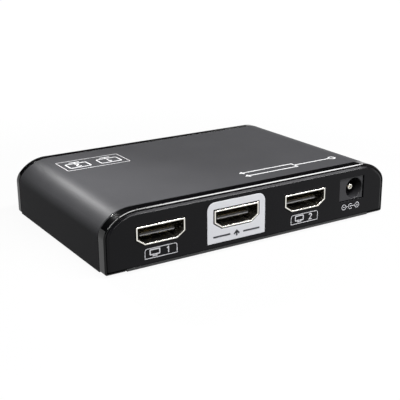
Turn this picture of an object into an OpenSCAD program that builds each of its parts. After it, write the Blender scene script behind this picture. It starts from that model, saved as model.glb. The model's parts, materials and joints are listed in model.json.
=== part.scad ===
// Video splitter: one input socket, two output sockets and a power jack in a low case.
// The port end faces -Y, +X runs along it from socket 1 to the power jack, and +Z is up.
// The origin lies under the middle of the part, on the surface that the feet stand on.

/* [Case] */
// Depth of the case from the port panel's face to the rear panel's face
case_d = 62.4; // [58:0.2:80]
// Height of the case without its feet
case_h = 16.6; // [16:0.1:20]
// From the left side of the case to the middle of socket 1
left_margin = 16.5; // [16.2:0.1:24]
// From the middle of the power jack to the right side of the case
right_margin = 13; // [12.7:0.1:20]
// Width of the rounded upper edge, seen from the end
corner_w = 9.7; // [8:0.1:12]
// Height of the rounded upper edge, seen from the end
corner_h = 6.9; // [6:0.1:8]
// Radius of the rounded edge where it meets the side
corner_side_r = 4.5; // [3.5:0.1:5]
// Wall of the top cover
cover_t = 1.2; // [0.8:0.1:1.8]
// Plate of the bottom cover
base_t = 1.6; // [1.2:0.1:2]

/* [Bezels and panels] */
// Depth of the band at the port end
port_band_d = 3.6; // [3:0.1:6]
// Depth of the band at the rear end
rear_band_d = 2.6; // [2.4:0.1:5]
// Width of the band's front rim
rim_t = 0.5; // [0.4:0.05:0.8]
// How far the rim stands behind the panel's face
rim_back = 0.3; // [0.1:0.05:0.6]
// How far the ledge behind the panel reaches in from the outside
ledge_in = 2.4; // [2.2:0.1:3.4]
// Length of the spigot that slides into the top cover
spigot_l = 2.5; // [1.5:0.1:4]
// Thickness of the end panels
panel_t = 1.6; // [1.2:0.1:2]
// Width of the panel's lowered border
border_w = 0.8; // [0.5:0.05:1.2]
// Depth of the panel's lowered border
border_d = 0.35; // [0.2:0.05:0.6]
// Height of the bottom cover's lip below the panels
lip_h = 0.75; // [0.6:0.05:1.1]
// From the side of the case to the end of the lip
lip_side = 6.2; // [5:0.1:9]
// Height of the rib behind each panel
rib_h = 3; // [2:0.1:3.6]
// Thickness of the rib behind each panel
rib_t = 1.2; // [0.8:0.1:2]

/* [Input plate] */
// Width of the pale plate round the input socket
plate_w = 19.4; // [18:0.1:21]
// Height of the plate
plate_h = 12; // [11:0.1:12.4]
// From the sockets' middle down to the plate's lower edge
plate_low = 6.9; // [6.1:0.1:7.5]
// Radius of the plate's upper corners
plate_r = 2.4; // [1:0.1:4]
// Thickness of the plate
plate_t = 0.15; // [0.1:0.05:0.25]
// Dark gap between the plate and the socket
plate_gap = 0.35; // [0.2:0.05:0.6]

/* [Sockets] */
// Distance from one socket to the next
socket_pitch = 24.2; // [21:0.1:30]
// Height of the sockets' middle above the case's half height
socket_z = 0.8; // [0.5:0.1:1.5]
// Width of the opening
mouth_w = 14; // [13.8:0.05:14.2]
// Height of the opening
mouth_h = 4.55; // [4.45:0.05:4.65]
// Height of the opening's straight sides
mouth_side = 3; // [2.6:0.1:3.4]
// Width of the opening's floor
mouth_floor_w = 9.5; // [9:0.1:10.5]
// Sheet of the shell
shell_t = 0.4; // [0.3:0.05:0.5]
// Length of the shell behind the panel's face
shell_l = 10.7; // [10:0.1:13]
// How far the shell stands out of the panel
shell_out = 0.3; // [0.2:0.05:0.8]
// Gap between the shell and the board
shell_lift = 0.55; // [0.3:0.05:0.8]
// Width of a shell leg
leg_w = 1.2; // [0.8:0.1:1.6]
// From the panel's face to the front pair of shell legs
leg_in = 4.3; // [3:0.1:5]
// Length of a spring finger
finger_l = 4.6; // [3.5:0.1:5]
// Width of a spring finger
finger_w = 1.6; // [1.2:0.1:2]
// From a spring finger's tip to its crest
finger_crest_l = 1.6; // [1:0.1:2]
// How far a spring finger bends into the opening
finger_in = 0.3; // [0.1:0.05:0.4]
// Width of the tongue
tongue_w = 10.6; // [10:0.1:11.4]
// Thickness of the tongue
tongue_t = 1.1; // [0.9:0.05:1.2]
// How far the tongue's middle lies under the opening's middle
tongue_drop = 0.5; // [0.3:0.05:0.6]
// How far the tongue's tip lies behind the panel's face
tongue_in = 1.9; // [1.5:0.1:3]
// Length of the insulating block inside the shell
block_l = 2.5; // [2:0.1:3.5]
// Length of the insulating block behind the shell
tail_l = 1.2; // [0.8:0.1:2]
// Width of the insulating block behind the shell
tail_w = 13; // [12:0.1:14]
// Contacts in the upper row, with one fewer in the lower row
upper_contacts = 10; // [8:1:10]
// Distance between contacts in a row
contact_pitch = 1; // [0.9:0.05:1.05]
// Width of a contact
contact_w = 0.3; // [0.2:0.05:0.4]
// Thickness of a contact
contact_t = 0.13; // [0.1:0.01:0.2]
// How far a contact stands out of the tongue
contact_out = 0.03; // [0.02:0.01:0.05]
// Length of a contact's foot on the board
contact_foot = 0.9; // [0.6:0.1:1.5]

/* [Power jack] */
// From socket 2 to the middle of the power jack
jack_pitch = 18.1; // [14:0.1:24]
// Width of the jack
jack_w = 9.4; // [9.2:0.1:10]
// Height of the jack
jack_h = 7.1; // [7:0.1:7.6]
// Length of the jack
jack_l = 12; // [11.6:0.1:14]
// How far the jack's face lies behind the panel's face
jack_in = 0.35; // [0.1:0.05:0.8]
// Radius of the jack's bore
bore_r = 3.15; // [3:0.05:3.25]
// Depth of the jack's bore
bore_l = 9.4; // [9.2:0.1:9.8]
// Sideways offset of the bore from the jack's middle
bore_side = 1.1; // [0.8:0.05:1.2]
// Radius of the centre pin
pin_r = 1; // [0.8:0.05:1.25]
// Radius of the centre pin's root in the jack's rear wall
pin_root_r = 0.7; // [0.5:0.05:0.75]
// How far the centre pin's tip lies behind the jack's face
pin_in = 1.6; // [1:0.1:3]
// Radius of the hollow in the pin's tip
pin_hollow_r = 0.4; // [0.2:0.05:0.5]
// Thickness of the outer wall beside the spring leaf
chamber_wall = 0.55; // [0.45:0.05:0.7]
// Height of the spring leaf
leaf_h = 2.2; // [1.8:0.1:2.6]
// Thickness of the spring leaf
leaf_t = 0.25; // [0.2:0.05:0.3]
// Radius of the post that the leaf turns on
post_r = 0.5; // [0.4:0.05:0.55]
// From the jack's face to the leaf's post
post_in = 9.9; // [9.8:0.1:10.2]
// From the post to the crest of the leaf's bump
leaf_crest_l = 5.8; // [5:0.1:6.2]
// From the post to the tip of the leaf
leaf_l = 7.5; // [7.2:0.1:7.8]
// How far the crest stands into the bore
leaf_crest = 0.55; // [0.3:0.05:0.7]

/* [Board] */
// Thickness of the circuit board
board_t = 1.6; // [1:0.1:1.8]
// From the side of the case to the board's edge
board_side = 7.9; // [7.6:0.1:8.1]
// From the port panel's back to the board's edge
board_front = 0.4; // [0.3:0.1:0.8]
// From the rear panel's face to the board's edge
board_back = 6.5; // [6:0.1:7]
// How far legs and leads stand out under the board
lead_out = 1; // [0.5:0.1:1.4]

/* [Screws and feet] */
// From the side of the case to a cover screw
boss_side = 5; // [4.8:0.1:5.1]
// From the end of the case to a cover screw
boss_end = 13; // [12.6:0.1:16]
// Radius of a cover boss
boss_r = 2.4; // [2.2:0.1:2.5]
// Radius of a screw tower in the bottom cover
tower_r = 3; // [2.9:0.05:3.1]
// Height of a screw tower above the underside
tower_h = 3; // [2.6:0.1:3.4]
// Radius of a cover screw's shank
cover_screw_r = 1.1; // [0.9:0.05:1.3]
// Length of a cover screw's shank
cover_screw_l = 8; // [6:0.5:9]
// Radius of a cover screw's head
cover_head_r = 2; // [1.8:0.05:2.2]
// Height of a cover screw's head
cover_head_h = 1.2; // [0.8:0.1:1.6]
// Depth of the pocket for a cover screw's head
cover_head_in = 1.6; // [1.4:0.1:2]
// From the side of the case to a board screw
board_screw_side = 12; // [11.6:0.1:14]
// From the port end to the front board screws
board_screw_front = 27.2; // [25:0.1:28]
// From the rear end to the rear board screws
board_screw_back = 11.2; // [10:0.1:13]
// Radius of a board screw's shank
board_screw_r = 0.9; // [0.7:0.05:1]
// Length of a board screw's shank
board_screw_l = 4; // [3:0.1:4.2]
// Radius of a board screw's head
board_head_r = 1.9; // [1.6:0.1:2.2]
// Height of a board screw's head
board_head_h = 1.3; // [0.8:0.1:1.6]
// Radius of a board standoff
standoff_r = 2.3; // [2:0.1:2.6]
// Width of a screw's cross recess
cross_w = 0.5; // [0.3:0.05:0.6]
// Radius of a rubber foot
foot_r = 4; // [3:0.1:4.5]
// How far a foot stands out under the case
foot_out = 0.8; // [0.5:0.1:1.5]
// How deep a foot sits in the bottom cover
foot_in = 0.4; // [0.3:0.1:0.7]
// From the side of the case to the middle of a foot
foot_side = 14; // [13.2:0.1:18]
// From the end of the case to the middle of a foot
foot_end = 8; // [7.6:0.1:8.2]

/* [Chips] */
// Width of the splitter chip
chip_w = 12; // [10:0.5:14]
// Thickness of the splitter chip
chip_t = 1.4; // [1:0.1:1.6]
// Leads along each side of the splitter chip
chip_leads = 16; // [8:1:20]
// Distance between the splitter chip's leads
chip_pitch = 0.65; // [0.5:0.05:0.65]
// From the left side of the case to the splitter chip
chip_left = 40; // [38:0.5:42]
// From the port end to the splitter chip
chip_front = 31.5; // [30:0.5:32]
// Thickness of the thermal pad
pad_t = 0.5; // [0.3:0.1:1]
// Width of the heat sink
sink_w = 14; // [12:0.5:16]
// Height of the heat sink
sink_h = 5; // [3:0.1:5.5]
// Thickness of the heat sink's plate
sink_plate = 1.2; // [0.8:0.1:1.8]
// Fins on the heat sink
sink_fins = 6; // [4:1:7]
// Thickness of a fin
fin_t = 1; // [0.6:0.1:1.2]
// Width of the control chip
control_w = 4.4; // [3.9:0.1:5]
// Length of the control chip
control_l = 6.5; // [6.4:0.1:7]
// Thickness of the control chip
control_t = 1; // [0.8:0.1:1.4]
// Leads along each side of the control chip
control_leads = 10; // [4:1:10]
// Distance between the control chip's leads
control_pitch = 0.65; // [0.5:0.05:0.65]
// Width of a memory chip
memory_w = 3.9; // [3:0.1:4.5]
// Length of a memory chip
memory_l = 4.9; // [4.6:0.1:5.4]
// Thickness of a memory chip
memory_t = 1.4; // [0.9:0.1:1.6]
// Leads along each side of a memory chip
memory_leads = 4; // [3:1:4]
// Distance between a memory chip's leads
memory_pitch = 1.27; // [1:0.01:1.27]
// Room between the heat sink and the parts beside it
chip_room = 4; // [3:0.1:5]
// Gap under the chips' bodies
chip_lift = 0.1; // [0.05:0.05:0.2]
// Thickness of a chip lead
lead_t = 0.15; // [0.1:0.01:0.2]
// Width of a chip lead
lead_w = 0.3; // [0.2:0.05:0.35]
// Reach of a chip lead out of its body
lead_reach = 1; // [0.8:0.1:1.3]
// Reach of a chip lead's shoulder before it turns down
lead_knee = 0.4; // [0.2:0.05:0.5]

/* [Small parts] */
// Width of a surge array
array_w = 3; // [2:0.1:3.4]
// Thickness of a surge array
array_t = 0.9; // [0.6:0.1:1.1]
// Width of the voltage regulator
regulator_w = 6.5; // [6:0.1:6.8]
// Length of the voltage regulator
regulator_l = 3.5; // [3:0.1:4]
// Thickness of the voltage regulator
regulator_t = 1.6; // [1.2:0.1:1.8]
// Distance between the regulator's leads
regulator_pitch = 2.3; // [2:0.1:2.4]
// Width of the regulator's cooling tab
regulator_tab = 3; // [2.5:0.1:3.4]
// Diameter of an electrolytic capacitor
can_d = 6.3; // [5:0.1:6.5]
// Height of an electrolytic capacitor's can
can_h = 4.6; // [3.6:0.1:5]
// Thickness of the base under a can
can_base = 0.8; // [0.6:0.1:1]
// Width of the power inductor
coil_w = 6; // [5:0.1:7]
// Height of the power inductor
coil_h = 3; // [2:0.1:4]
// Length of the crystal's can
crystal_l = 11; // [9:0.1:11.4]
// Width of the crystal's can
crystal_w = 4.4; // [4:0.1:4.8]
// Height of the crystal's can
crystal_h = 3.4; // [2.5:0.1:4]
// Length of a ceramic capacitor or resistor
chip_part_l = 1.6; // [1:0.1:2]
// Width of a ceramic capacitor or resistor
chip_part_w = 0.8; // [0.5:0.1:1]
// Height of a ceramic capacitor
ceramic_h = 0.8; // [0.5:0.1:1]
// Height of a resistor
resistor_h = 0.45; // [0.3:0.05:0.6]
// Distance between small parts in a row
small_pitch = 3; // [2.2:0.1:3.4]
// Ceramic capacitors along each side of the splitter chip
ceramic_count = 5; // [2:1:5]
// Resistors in a row
resistor_count = 6; // [2:1:8]

/* [Indicators] */
// Number of indicator lamps
lamp_count = 3; // [2:1:4]
// Distance between the lamps
lamp_pitch = 12; // [8:0.5:14]
// Radius of a lamp
lamp_r = 1.5; // [1:0.1:1.6]
// Length of a lamp
lamp_l = 5.3; // [4.5:0.1:5.4]
// Radius of the rim at a lamp's base
lamp_rim_r = 1.9; // [1.7:0.1:2]
// Thickness of the rim at a lamp's base
lamp_rim_t = 1; // [0.6:0.1:1.2]
// Height of the lamps' middle above the board
lamp_z = 3.2; // [2.8:0.1:4]
// Length of a lamp's holder
holder_l = 4; // [3:0.1:5]
// Width of a lamp's holder
holder_w = 4.6; // [4.2:0.1:5.2]
// Distance between a lamp's two leads
lamp_lead_pitch = 2.54; // [2:0.02:2.6]
// Width of a lamp's lead
lamp_lead_w = 0.5; // [0.4:0.05:0.6]

/* [Clearances] */
// Seam between case pieces
seam = 0.1; // [0.05:0.05:0.2]
// Groove between the top cover and a bezel band
groove = 0.25; // [0.1:0.05:0.5]
// Gap round the sockets and the jack in the panel
port_gap = 0.15; // [0.1:0.05:0.3]
// Gap between pieces that are pressed or moulded together
fit = 0.04; // [0.02:0.01:0.08]
// Gap round leads and screws in the board
hole_gap = 0.15; // [0.1:0.05:0.3]
// Running gap of the spring leaf on its post
run_gap = 0.06; // [0.03:0.01:0.1]
// Room above and below the spring leaf
leaf_gap = 0.25; // [0.15:0.05:0.4]
// Least gap between parts on the board
part_gap = 0.6; // [0.4:0.1:0.8]
// Gap between the parts of the power supply
supply_gap = 1; // [0.6:0.1:1.4]

/* [Hidden] */
$fn = 64;

// A cut reaches this far past the face it opens
past = 1;

// The case: its width follows from the row of ports
case_w = left_margin + 2 * socket_pitch + jack_pitch + right_margin;
left_x = -case_w / 2;
right_x = case_w / 2;
front_y = (shell_out - case_d) / 2;
back_y = front_y + case_d;
base_z = foot_out;
top_z = base_z + case_h;

// The rounded edge is two arcs, tangent to each other, to the side and to the top
corner_top_r = (pow(corner_w - corner_side_r, 2) + pow(corner_h, 2) - pow(corner_side_r, 2))
    / (2 * (corner_h - corner_side_r));
side_centre = [right_x - corner_side_r, top_z - corner_h];
top_centre = [right_x - corner_w, top_z - corner_top_r];
join_dir = (side_centre - top_centre) / norm(side_centre - top_centre);

// Where the top cover begins and ends between the bands
cover_y0 = front_y + port_band_d + groove;
cover_y1 = back_y - rear_band_d - groove;

// Panels, lip and plate of the bottom cover
panel_inset = rim_t + seam;
field_inset = panel_inset + border_w;
panel_low = base_z + lip_h + seam;
lip_x = case_w / 2 - lip_side;
base_x = case_w / 2 - cover_t - seam;

// Heights set by the sockets
socket_mid = base_z + case_h / 2 + socket_z;
board_top = socket_mid - mouth_h / 2 - shell_t - shell_lift;
board_low = board_top - board_t;
lead_low = board_low - lead_out;

// Ports along the front
socket_1_x = left_x + left_margin;
input_x = socket_1_x + socket_pitch;
socket_2_x = input_x + socket_pitch;
jack_x = socket_2_x + jack_pitch;

// The opening's slanted lower sides, and how its corners move when it is grown
slant_rise = mouth_h - mouth_side;
slant_run = (mouth_w - mouth_floor_w) / 2;
slant = atan2(slant_rise, slant_run);
side_shift = (1 - sin(slant)) / cos(slant);
floor_shift = tan(slant / 2);

// Socket details, measured from the panel's face and the opening's middle
tongue_low = -tongue_drop - tongue_t / 2;
tongue_top = -tongue_drop + tongue_t / 2;
block_y = shell_l - block_l;
tail_y = shell_l + tail_l;
contact_tail_y = tail_y + fit;
board_drop = board_top - socket_mid;
leg_ys = [leg_in, shell_l - leg_w];
finger_xs = [-mouth_floor_w / 4, mouth_floor_w / 4];
finger_y = tongue_in;

// The jack: bore, leaf chamber and post
jack_y = front_y + jack_in;
jack_left = jack_x - jack_w / 2;
bore_x = jack_x + bore_side;
bore_z = board_top + jack_h / 2;
chamber_x = jack_left + chamber_wall;
chamber_h = leaf_h + 2 * leaf_gap;
eye_r = post_r + run_gap + leaf_t;
post_x = chamber_x + eye_r + leaf_gap;
post_y = jack_y + post_in;
chamber_y = post_y - leaf_l - 2 * leaf_gap;
crest_x = bore_x - bore_r + leaf_crest;

// Screw places
boss_xs = [left_x + boss_side, right_x - boss_side];
boss_ys = [front_y + boss_end, back_y - boss_end];
board_screw_xs = [left_x + board_screw_side, right_x - board_screw_side];
board_screw_ys = [front_y + board_screw_front, back_y - board_screw_back];
foot_xs = [left_x + foot_side, right_x - foot_side];
foot_ys = [front_y + foot_end, back_y - foot_end];

// The board and the places of the parts on it
board_x0 = left_x + board_side;
board_x1 = right_x - board_side;
board_y0 = front_y + panel_t + board_front;
board_y1 = back_y - board_back;
chip_pos = [left_x + chip_left, front_y + chip_front];
array_y = front_y + contact_tail_y + contact_t + contact_foot + part_gap + array_w / 2;
supply_y = array_y + array_w / 2 + part_gap + max(can_d, coil_w) / 2;
right_can_x = board_x1 - supply_gap - can_d / 2;
regulator_x = right_can_x - can_d / 2 - supply_gap - regulator_w / 2;
inductor_x = regulator_x - regulator_w / 2 - supply_gap - coil_w / 2;
left_can_x = inductor_x - coil_w / 2 - supply_gap - can_d / 2;
can_pos = [[left_can_x, supply_y], [right_can_x, supply_y]];
chip_side = max(chip_w / 2 + lead_reach, sink_w / 2);
ceramic_shift = chip_w / 2 + lead_reach + part_gap + chip_part_l / 2;
crystal_shift = max(ceramic_shift + chip_part_l / 2, sink_w / 2) + part_gap + crystal_w / 2;
crystal_pos = chip_pos + [0, crystal_shift];
memory_shift = chip_side + chip_room + lead_reach + memory_w / 2;
memory_pos = [for (s = [-1, 1]) chip_pos + [-memory_shift, s * (memory_l / 2 + part_gap)]];
control_pos = chip_pos + [-memory_shift, memory_l + 2 * part_gap + part_gap + control_l / 2];
resistor_pos = chip_pos + [chip_side + chip_room, 0];
lamp_xs = [for (i = [0 : lamp_count - 1]) (i - (lamp_count - 1) / 2) * lamp_pitch];
lamp_axis = board_top + lamp_z;
lamp_y = back_y - lamp_l;

// Solids drawn from an end view: a flat shape in X and Z, carried along Y
module along_y(y0, y1) {
    translate([0, y1, 0]) rotate([90, 0, 0]) linear_extrude(y1 - y0) children();
}

module block(low, high) {
    translate(low) cube(high - low);
}

// A block that stands on the board, centred on a place
module on_board(pos, size, lift = 0) {
    translate([pos.x - size.x / 2, pos.y - size.y / 2, board_top + lift]) cube(size);
}

module at_grid(xs, ys) {
    for (x = xs, y = ys) translate([x, y, 0]) children();
}

// End view of the case, shrunk by an inset and cut off at a floor
module rounded_edge(inset) {
    reach = 2 * corner_top_r;
    translate(side_centre) circle(corner_side_r - inset);
    intersection() {
        translate(top_centre) circle(corner_top_r - inset);
        translate(top_centre) polygon([[0, 0], reach * join_dir, [reach, reach], [0, reach]]);
    }
}

module outline(inset, floor_z) {
    translate([left_x + inset, floor_z]) square([case_w - 2 * inset, side_centre.y - floor_z]);
    translate([-top_centre.x, floor_z]) square([2 * top_centre.x, top_z - inset - floor_z]);
    rounded_edge(inset);
    mirror([1, 0]) rounded_edge(inset);
}

// Case
module top_cover() color("#3f3f41") {
    boss_low = base_z + tower_h;
    difference() {
        union() {
            along_y(cover_y0, cover_y1) difference() {
                outline(0, base_z);
                outline(cover_t, base_z - past);
            }
            intersection() {
                at_grid(boss_xs, boss_ys) translate([0, 0, boss_low]) cylinder(h = case_h, r = boss_r);
                along_y(cover_y0, cover_y1) outline(cover_t / 2, base_z);
            }
        }
        at_grid(boss_xs, boss_ys) translate([0, 0, boss_low - past])
            cylinder(h = past + cover_screw_l + cover_head_in - tower_h + past, r = cover_screw_r + fit);
    }
}

module base_lip(panel_back_y, end_y) {
    y0 = min(panel_back_y, end_y);
    y1 = max(panel_back_y, end_y);
    block([-lip_x, y0, base_z], [lip_x, y1, base_z + lip_h]);
}

module bottom_cover() color("#2a2a2b") {
    tongue_y0 = front_y + panel_t + seam;
    tongue_y1 = back_y - panel_t - seam;
    difference() {
        union() {
            block([-base_x, cover_y0, base_z], [base_x, cover_y1, base_z + base_t]);
            block([-lip_x, tongue_y0, base_z], [lip_x, tongue_y1, base_z + base_t]);
            base_lip(tongue_y0 + past, front_y + seam);
            base_lip(tongue_y1 - past, back_y - seam);
            block([-lip_x / 2, tongue_y0, base_z], [lip_x / 2, tongue_y0 + rib_t, base_z + rib_h]);
            block([-lip_x / 2, tongue_y1 - rib_t, base_z], [lip_x / 2, tongue_y1, base_z + rib_h]);
            at_grid(boss_xs, boss_ys) translate([0, 0, base_z]) cylinder(h = tower_h - fit, r = tower_r);
            at_grid(board_screw_xs, board_screw_ys) translate([0, 0, base_z])
                cylinder(h = board_low - fit - base_z, r = standoff_r);
        }
        at_grid(boss_xs, boss_ys) {
            translate([0, 0, base_z - past]) cylinder(h = past + cover_head_in, r = cover_head_r + hole_gap);
            translate([0, 0, base_z]) cylinder(h = tower_h + past, r = cover_screw_r + hole_gap);
        }
        at_grid(board_screw_xs, board_screw_ys)
            translate([0, 0, board_low + board_t - board_screw_l - fit])
            cylinder(h = board_screw_l + past, r = board_screw_r + fit);
        at_grid(foot_xs, foot_ys) translate([0, 0, base_z - past])
            cylinder(h = past + foot_in, r = foot_r + seam);
    }
}

// A bezel at the end y = 0 of the case, reaching in along +Y
module bezel(band_d) {
    difference() {
        union() {
            along_y(rim_back, band_d) outline(0, base_z);
            along_y(band_d - seam, band_d + spigot_l) outline(cover_t + seam, base_z + base_t + seam);
        }
        along_y(-past, panel_t + seam) outline(rim_t, base_z + lip_h);
        along_y(-past, band_d + spigot_l + past) outline(ledge_in, base_z + lip_h);
        block([-lip_x - groove, -past, base_z - past],
              [lip_x + groove, band_d + past, base_z + lip_h + past]);
    }
}

// A panel with its face at y = 0, reaching in along +Y
module panel() {
    along_y(0, panel_t) outline(field_inset, panel_low);
    along_y(border_d, panel_t) outline(panel_inset, panel_low);
}

module port_bezel() color("#0b0b0c") translate([0, front_y, 0]) bezel(port_band_d);

module rear_bezel() color("#0b0b0c") translate([0, back_y, 0]) mirror([0, 1, 0]) bezel(rear_band_d);

module port_panel() color("#262627") difference() {
    translate([0, front_y, 0]) panel();
    for (x = [socket_1_x, input_x, socket_2_x]) translate([x, front_y, socket_mid])
        along_y(-past, panel_t + past) polygon(mouth_points(shell_t + port_gap));
    block([jack_left - port_gap, front_y - past, board_top - port_gap],
          [jack_left + jack_w + port_gap, front_y + panel_t + past, board_top + jack_h + port_gap]);
}

module rear_panel() color("#262627") difference() {
    translate([0, back_y, 0]) mirror([0, 1, 0]) panel();
    for (x = lamp_xs) translate([x, back_y + past, lamp_axis]) rotate([90, 0, 0])
        cylinder(h = panel_t + 2 * past, r = lamp_r + port_gap);
}

module input_plate() color("#d8d8e0") {
    low = socket_mid - plate_low;
    half = plate_w / 2;
    translate([input_x, 0, 0]) along_y(front_y - plate_t, front_y) difference() {
        union() {
            translate([-half, low]) square([plate_w, plate_h - plate_r]);
            translate([-half + plate_r, low]) square([plate_w - 2 * plate_r, plate_h]);
            for (s = [-1, 1]) translate([s * (half - plate_r), low + plate_h - plate_r]) circle(plate_r);
        }
        translate([0, socket_mid]) polygon(mouth_points(shell_t + plate_gap));
    }
}

module rubber_feet() color("#1c1c1c") at_grid(foot_xs, foot_ys)
    cylinder(h = foot_out + foot_in, r = foot_r);

// A pan-head screw whose head's bearing face lies at z = 0, with its shank pointing up
module screw(shank_r, shank_l, head_r, head_h) difference() {
    union() {
        translate([0, 0, -head_h]) cylinder(h = head_h, r = head_r);
        cylinder(h = shank_l, r = shank_r);
    }
    for (turn = [0, 90]) rotate([0, 0, turn])
        block([-head_r / 2, -cross_w / 2, -head_h - past], [head_r / 2, cross_w / 2, -head_h / 2]);
}

module cover_screws() color("#8d8f92") at_grid(boss_xs, boss_ys)
    translate([0, 0, base_z + cover_head_in]) screw(cover_screw_r, cover_screw_l, cover_head_r, cover_head_h);

module board_screws() color("#8d8f92") at_grid(board_screw_xs, board_screw_ys)
    translate([0, 0, board_top]) mirror([0, 0, 1])
    screw(board_screw_r, board_screw_l, board_head_r, board_head_h);

// Board
module circuit_board() color("#1d4d2b") difference() {
    block([board_x0, board_y0, board_low], [board_x1, board_y1, board_top]);
    at_grid(board_screw_xs, board_screw_ys) translate([0, 0, board_low - past])
        cylinder(h = board_t + 2 * past, r = board_screw_r + hole_gap);
    for (x = [socket_1_x, input_x, socket_2_x]) translate([x, front_y, 0])
        shell_legs(board_low - past, board_top + past, hole_gap);
    translate([post_x, post_y, board_low - past]) cylinder(h = board_t + 2 * past, r = post_r + hole_gap);
    pin_blade(board_low - past, board_top + past, hole_gap);
    lamp_lead_posts(board_low - past, board_top + past, hole_gap);
}

// Sockets: the opening's outline in X and Z, grown by a width
function mouth_points(grow) = let (
        half = mouth_w / 2 + grow,
        high = mouth_h / 2 + grow,
        side_low = mouth_h / 2 - mouth_side - grow * side_shift,
        floor_half = mouth_floor_w / 2 + grow * floor_shift
    ) [
        [-half, high], [-half, side_low], [-floor_half, -high],
        [floor_half, -high], [half, side_low], [half, high]
    ];

module shell_legs(low, high, gap) {
    for (side = [-1, 1], y = leg_ys)
        block([side * (mouth_w + shell_t) / 2 - shell_t / 2 - gap, y - gap, low],
              [side * (mouth_w + shell_t) / 2 + shell_t / 2 + gap, y + leg_w + gap, high]);
}

// A spring finger lanced out of the shell's floor: it dips into the opening at its crest
module spring_finger() {
    wall = -mouth_h / 2;
    crest_y = finger_y + finger_crest_l;
    rotate([90, 0, 90]) translate([0, 0, -finger_w / 2]) linear_extrude(finger_w) polygon([
        [finger_y + finger_l, wall - shell_t], [finger_y + finger_l, wall],
        [crest_y, wall + finger_in], [finger_y, wall],
        [finger_y, wall - shell_t / 2], [crest_y, wall + finger_in - shell_t / 2]
    ]);
}

module finger_window() {
    block([-finger_w / 2 - port_gap, finger_y - port_gap, -mouth_h / 2 - shell_t - past],
          [finger_w / 2 + port_gap, finger_y + finger_l, -mouth_h / 2 + shell_t / 2]);
}

module socket_shell(x) color("#dcdad2") {
    translate([x, front_y, socket_mid]) {
        difference() {
            along_y(-shell_out, shell_l) difference() {
                polygon(mouth_points(shell_t));
                polygon(mouth_points(0));
            }
            for (fx = finger_xs, flip = [0, 1]) mirror([0, 0, flip]) translate([fx, 0, 0]) finger_window();
        }
        for (fx = finger_xs, flip = [0, 1]) mirror([0, 0, flip]) translate([fx, 0, 0]) spring_finger();
        shell_legs(lead_low - socket_mid, mouth_h / 2 - mouth_side, 0);
    }
}

module contact_row(count, upper) {
    z_out = upper ? tongue_top + contact_out : tongue_low - contact_out;
    z_in = upper ? z_out - contact_t : z_out + contact_t;
    high = max(z_out, z_in);
    low = min(z_out, z_in);
    back = contact_tail_y + contact_t;
    for (i = [0 : count - 1])
        translate([(i - (count - 1) / 2) * contact_pitch - contact_w / 2, 0, 0])
        rotate([90, 0, 90]) linear_extrude(contact_w) polygon([
            [tongue_in + contact_w, high], [back, high], [back, board_drop + contact_t],
            [back + contact_foot, board_drop + contact_t], [back + contact_foot, board_drop],
            [contact_tail_y, board_drop], [contact_tail_y, low], [tongue_in + contact_w, low]
        ]);
}

module contact_slots(count, upper) {
    z_mid = upper ? tongue_top + contact_out - contact_t / 2 : tongue_low - contact_out + contact_t / 2;
    for (i = [0 : count - 1])
        translate([(i - (count - 1) / 2) * contact_pitch, 0, z_mid])
        block([-contact_w / 2 - fit, tongue_in + contact_w - fit, -contact_t / 2 - fit],
              [contact_w / 2 + fit, tail_y + past, contact_t / 2 + fit]);
}

module socket_insulator(x) color("#17171a") translate([x, front_y, socket_mid]) difference() {
    union() {
        along_y(block_y, shell_l + fit) polygon(mouth_points(-fit));
        block([-tongue_w / 2, tongue_in, tongue_low], [tongue_w / 2, block_y + fit, tongue_top]);
        block([-tail_w / 2, shell_l + fit, board_drop], [tail_w / 2, tail_y, mouth_h / 2 + shell_t]);
    }
    contact_slots(upper_contacts, true);
    contact_slots(upper_contacts - 1, false);
}

module socket_contacts(x) color("#c9a24a") translate([x, front_y, socket_mid]) {
    contact_row(upper_contacts, true);
    contact_row(upper_contacts - 1, false);
}

// Power jack
module jack_housing() color("#454547") difference() {
    block([jack_left, jack_y, board_top], [jack_left + jack_w, jack_y + jack_l, board_top + jack_h]);
    translate([bore_x, jack_y + bore_l, bore_z]) rotate([90, 0, 0]) cylinder(h = bore_l + past, r = bore_r);
    translate([bore_x, jack_y + jack_l + past, bore_z]) rotate([90, 0, 0])
        cylinder(h = jack_l - bore_l + 2 * past, r = pin_root_r + fit);
    block([chamber_x, chamber_y, bore_z - chamber_h / 2], [bore_x, jack_y + bore_l, bore_z + chamber_h / 2]);
    block([chamber_x, chamber_y, bore_z - chamber_h / 2],
          [post_x + eye_r + leaf_gap, post_y + eye_r + leaf_gap, bore_z + chamber_h / 2]);
    translate([post_x, post_y, board_top - past])
        cylinder(h = past + jack_h / 2 + chamber_h / 2 + post_r, r = post_r + fit);
}

module pin_blade(low, high, gap) {
    y0 = jack_y + jack_l + fit;
    block([bore_x - pin_r - gap, y0 - gap, low], [bore_x + pin_r + gap, y0 + shell_t + gap, high]);
}

module jack_centre_pin() color("#d9d6cc") {
    difference() {
        union() {
            translate([bore_x, jack_y + bore_l - fit, bore_z]) rotate([90, 0, 0])
                cylinder(h = bore_l - fit - pin_in, r = pin_r);
            translate([bore_x, jack_y + jack_l + fit, bore_z]) rotate([90, 0, 0])
                cylinder(h = jack_l - bore_l + past, r = pin_root_r);
        }
        translate([bore_x, jack_y + pin_in + pin_r, bore_z]) rotate([90, 0, 0])
            cylinder(h = pin_r + past, r = pin_hollow_r);
    }
    pin_blade(lead_low, bore_z + pin_r, 0);
}

module jack_spring_post() color("#c9c5b8") translate([post_x, post_y, lead_low])
    cylinder(h = bore_z + chamber_h / 2 + post_r - fit - lead_low, r = post_r);

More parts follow.
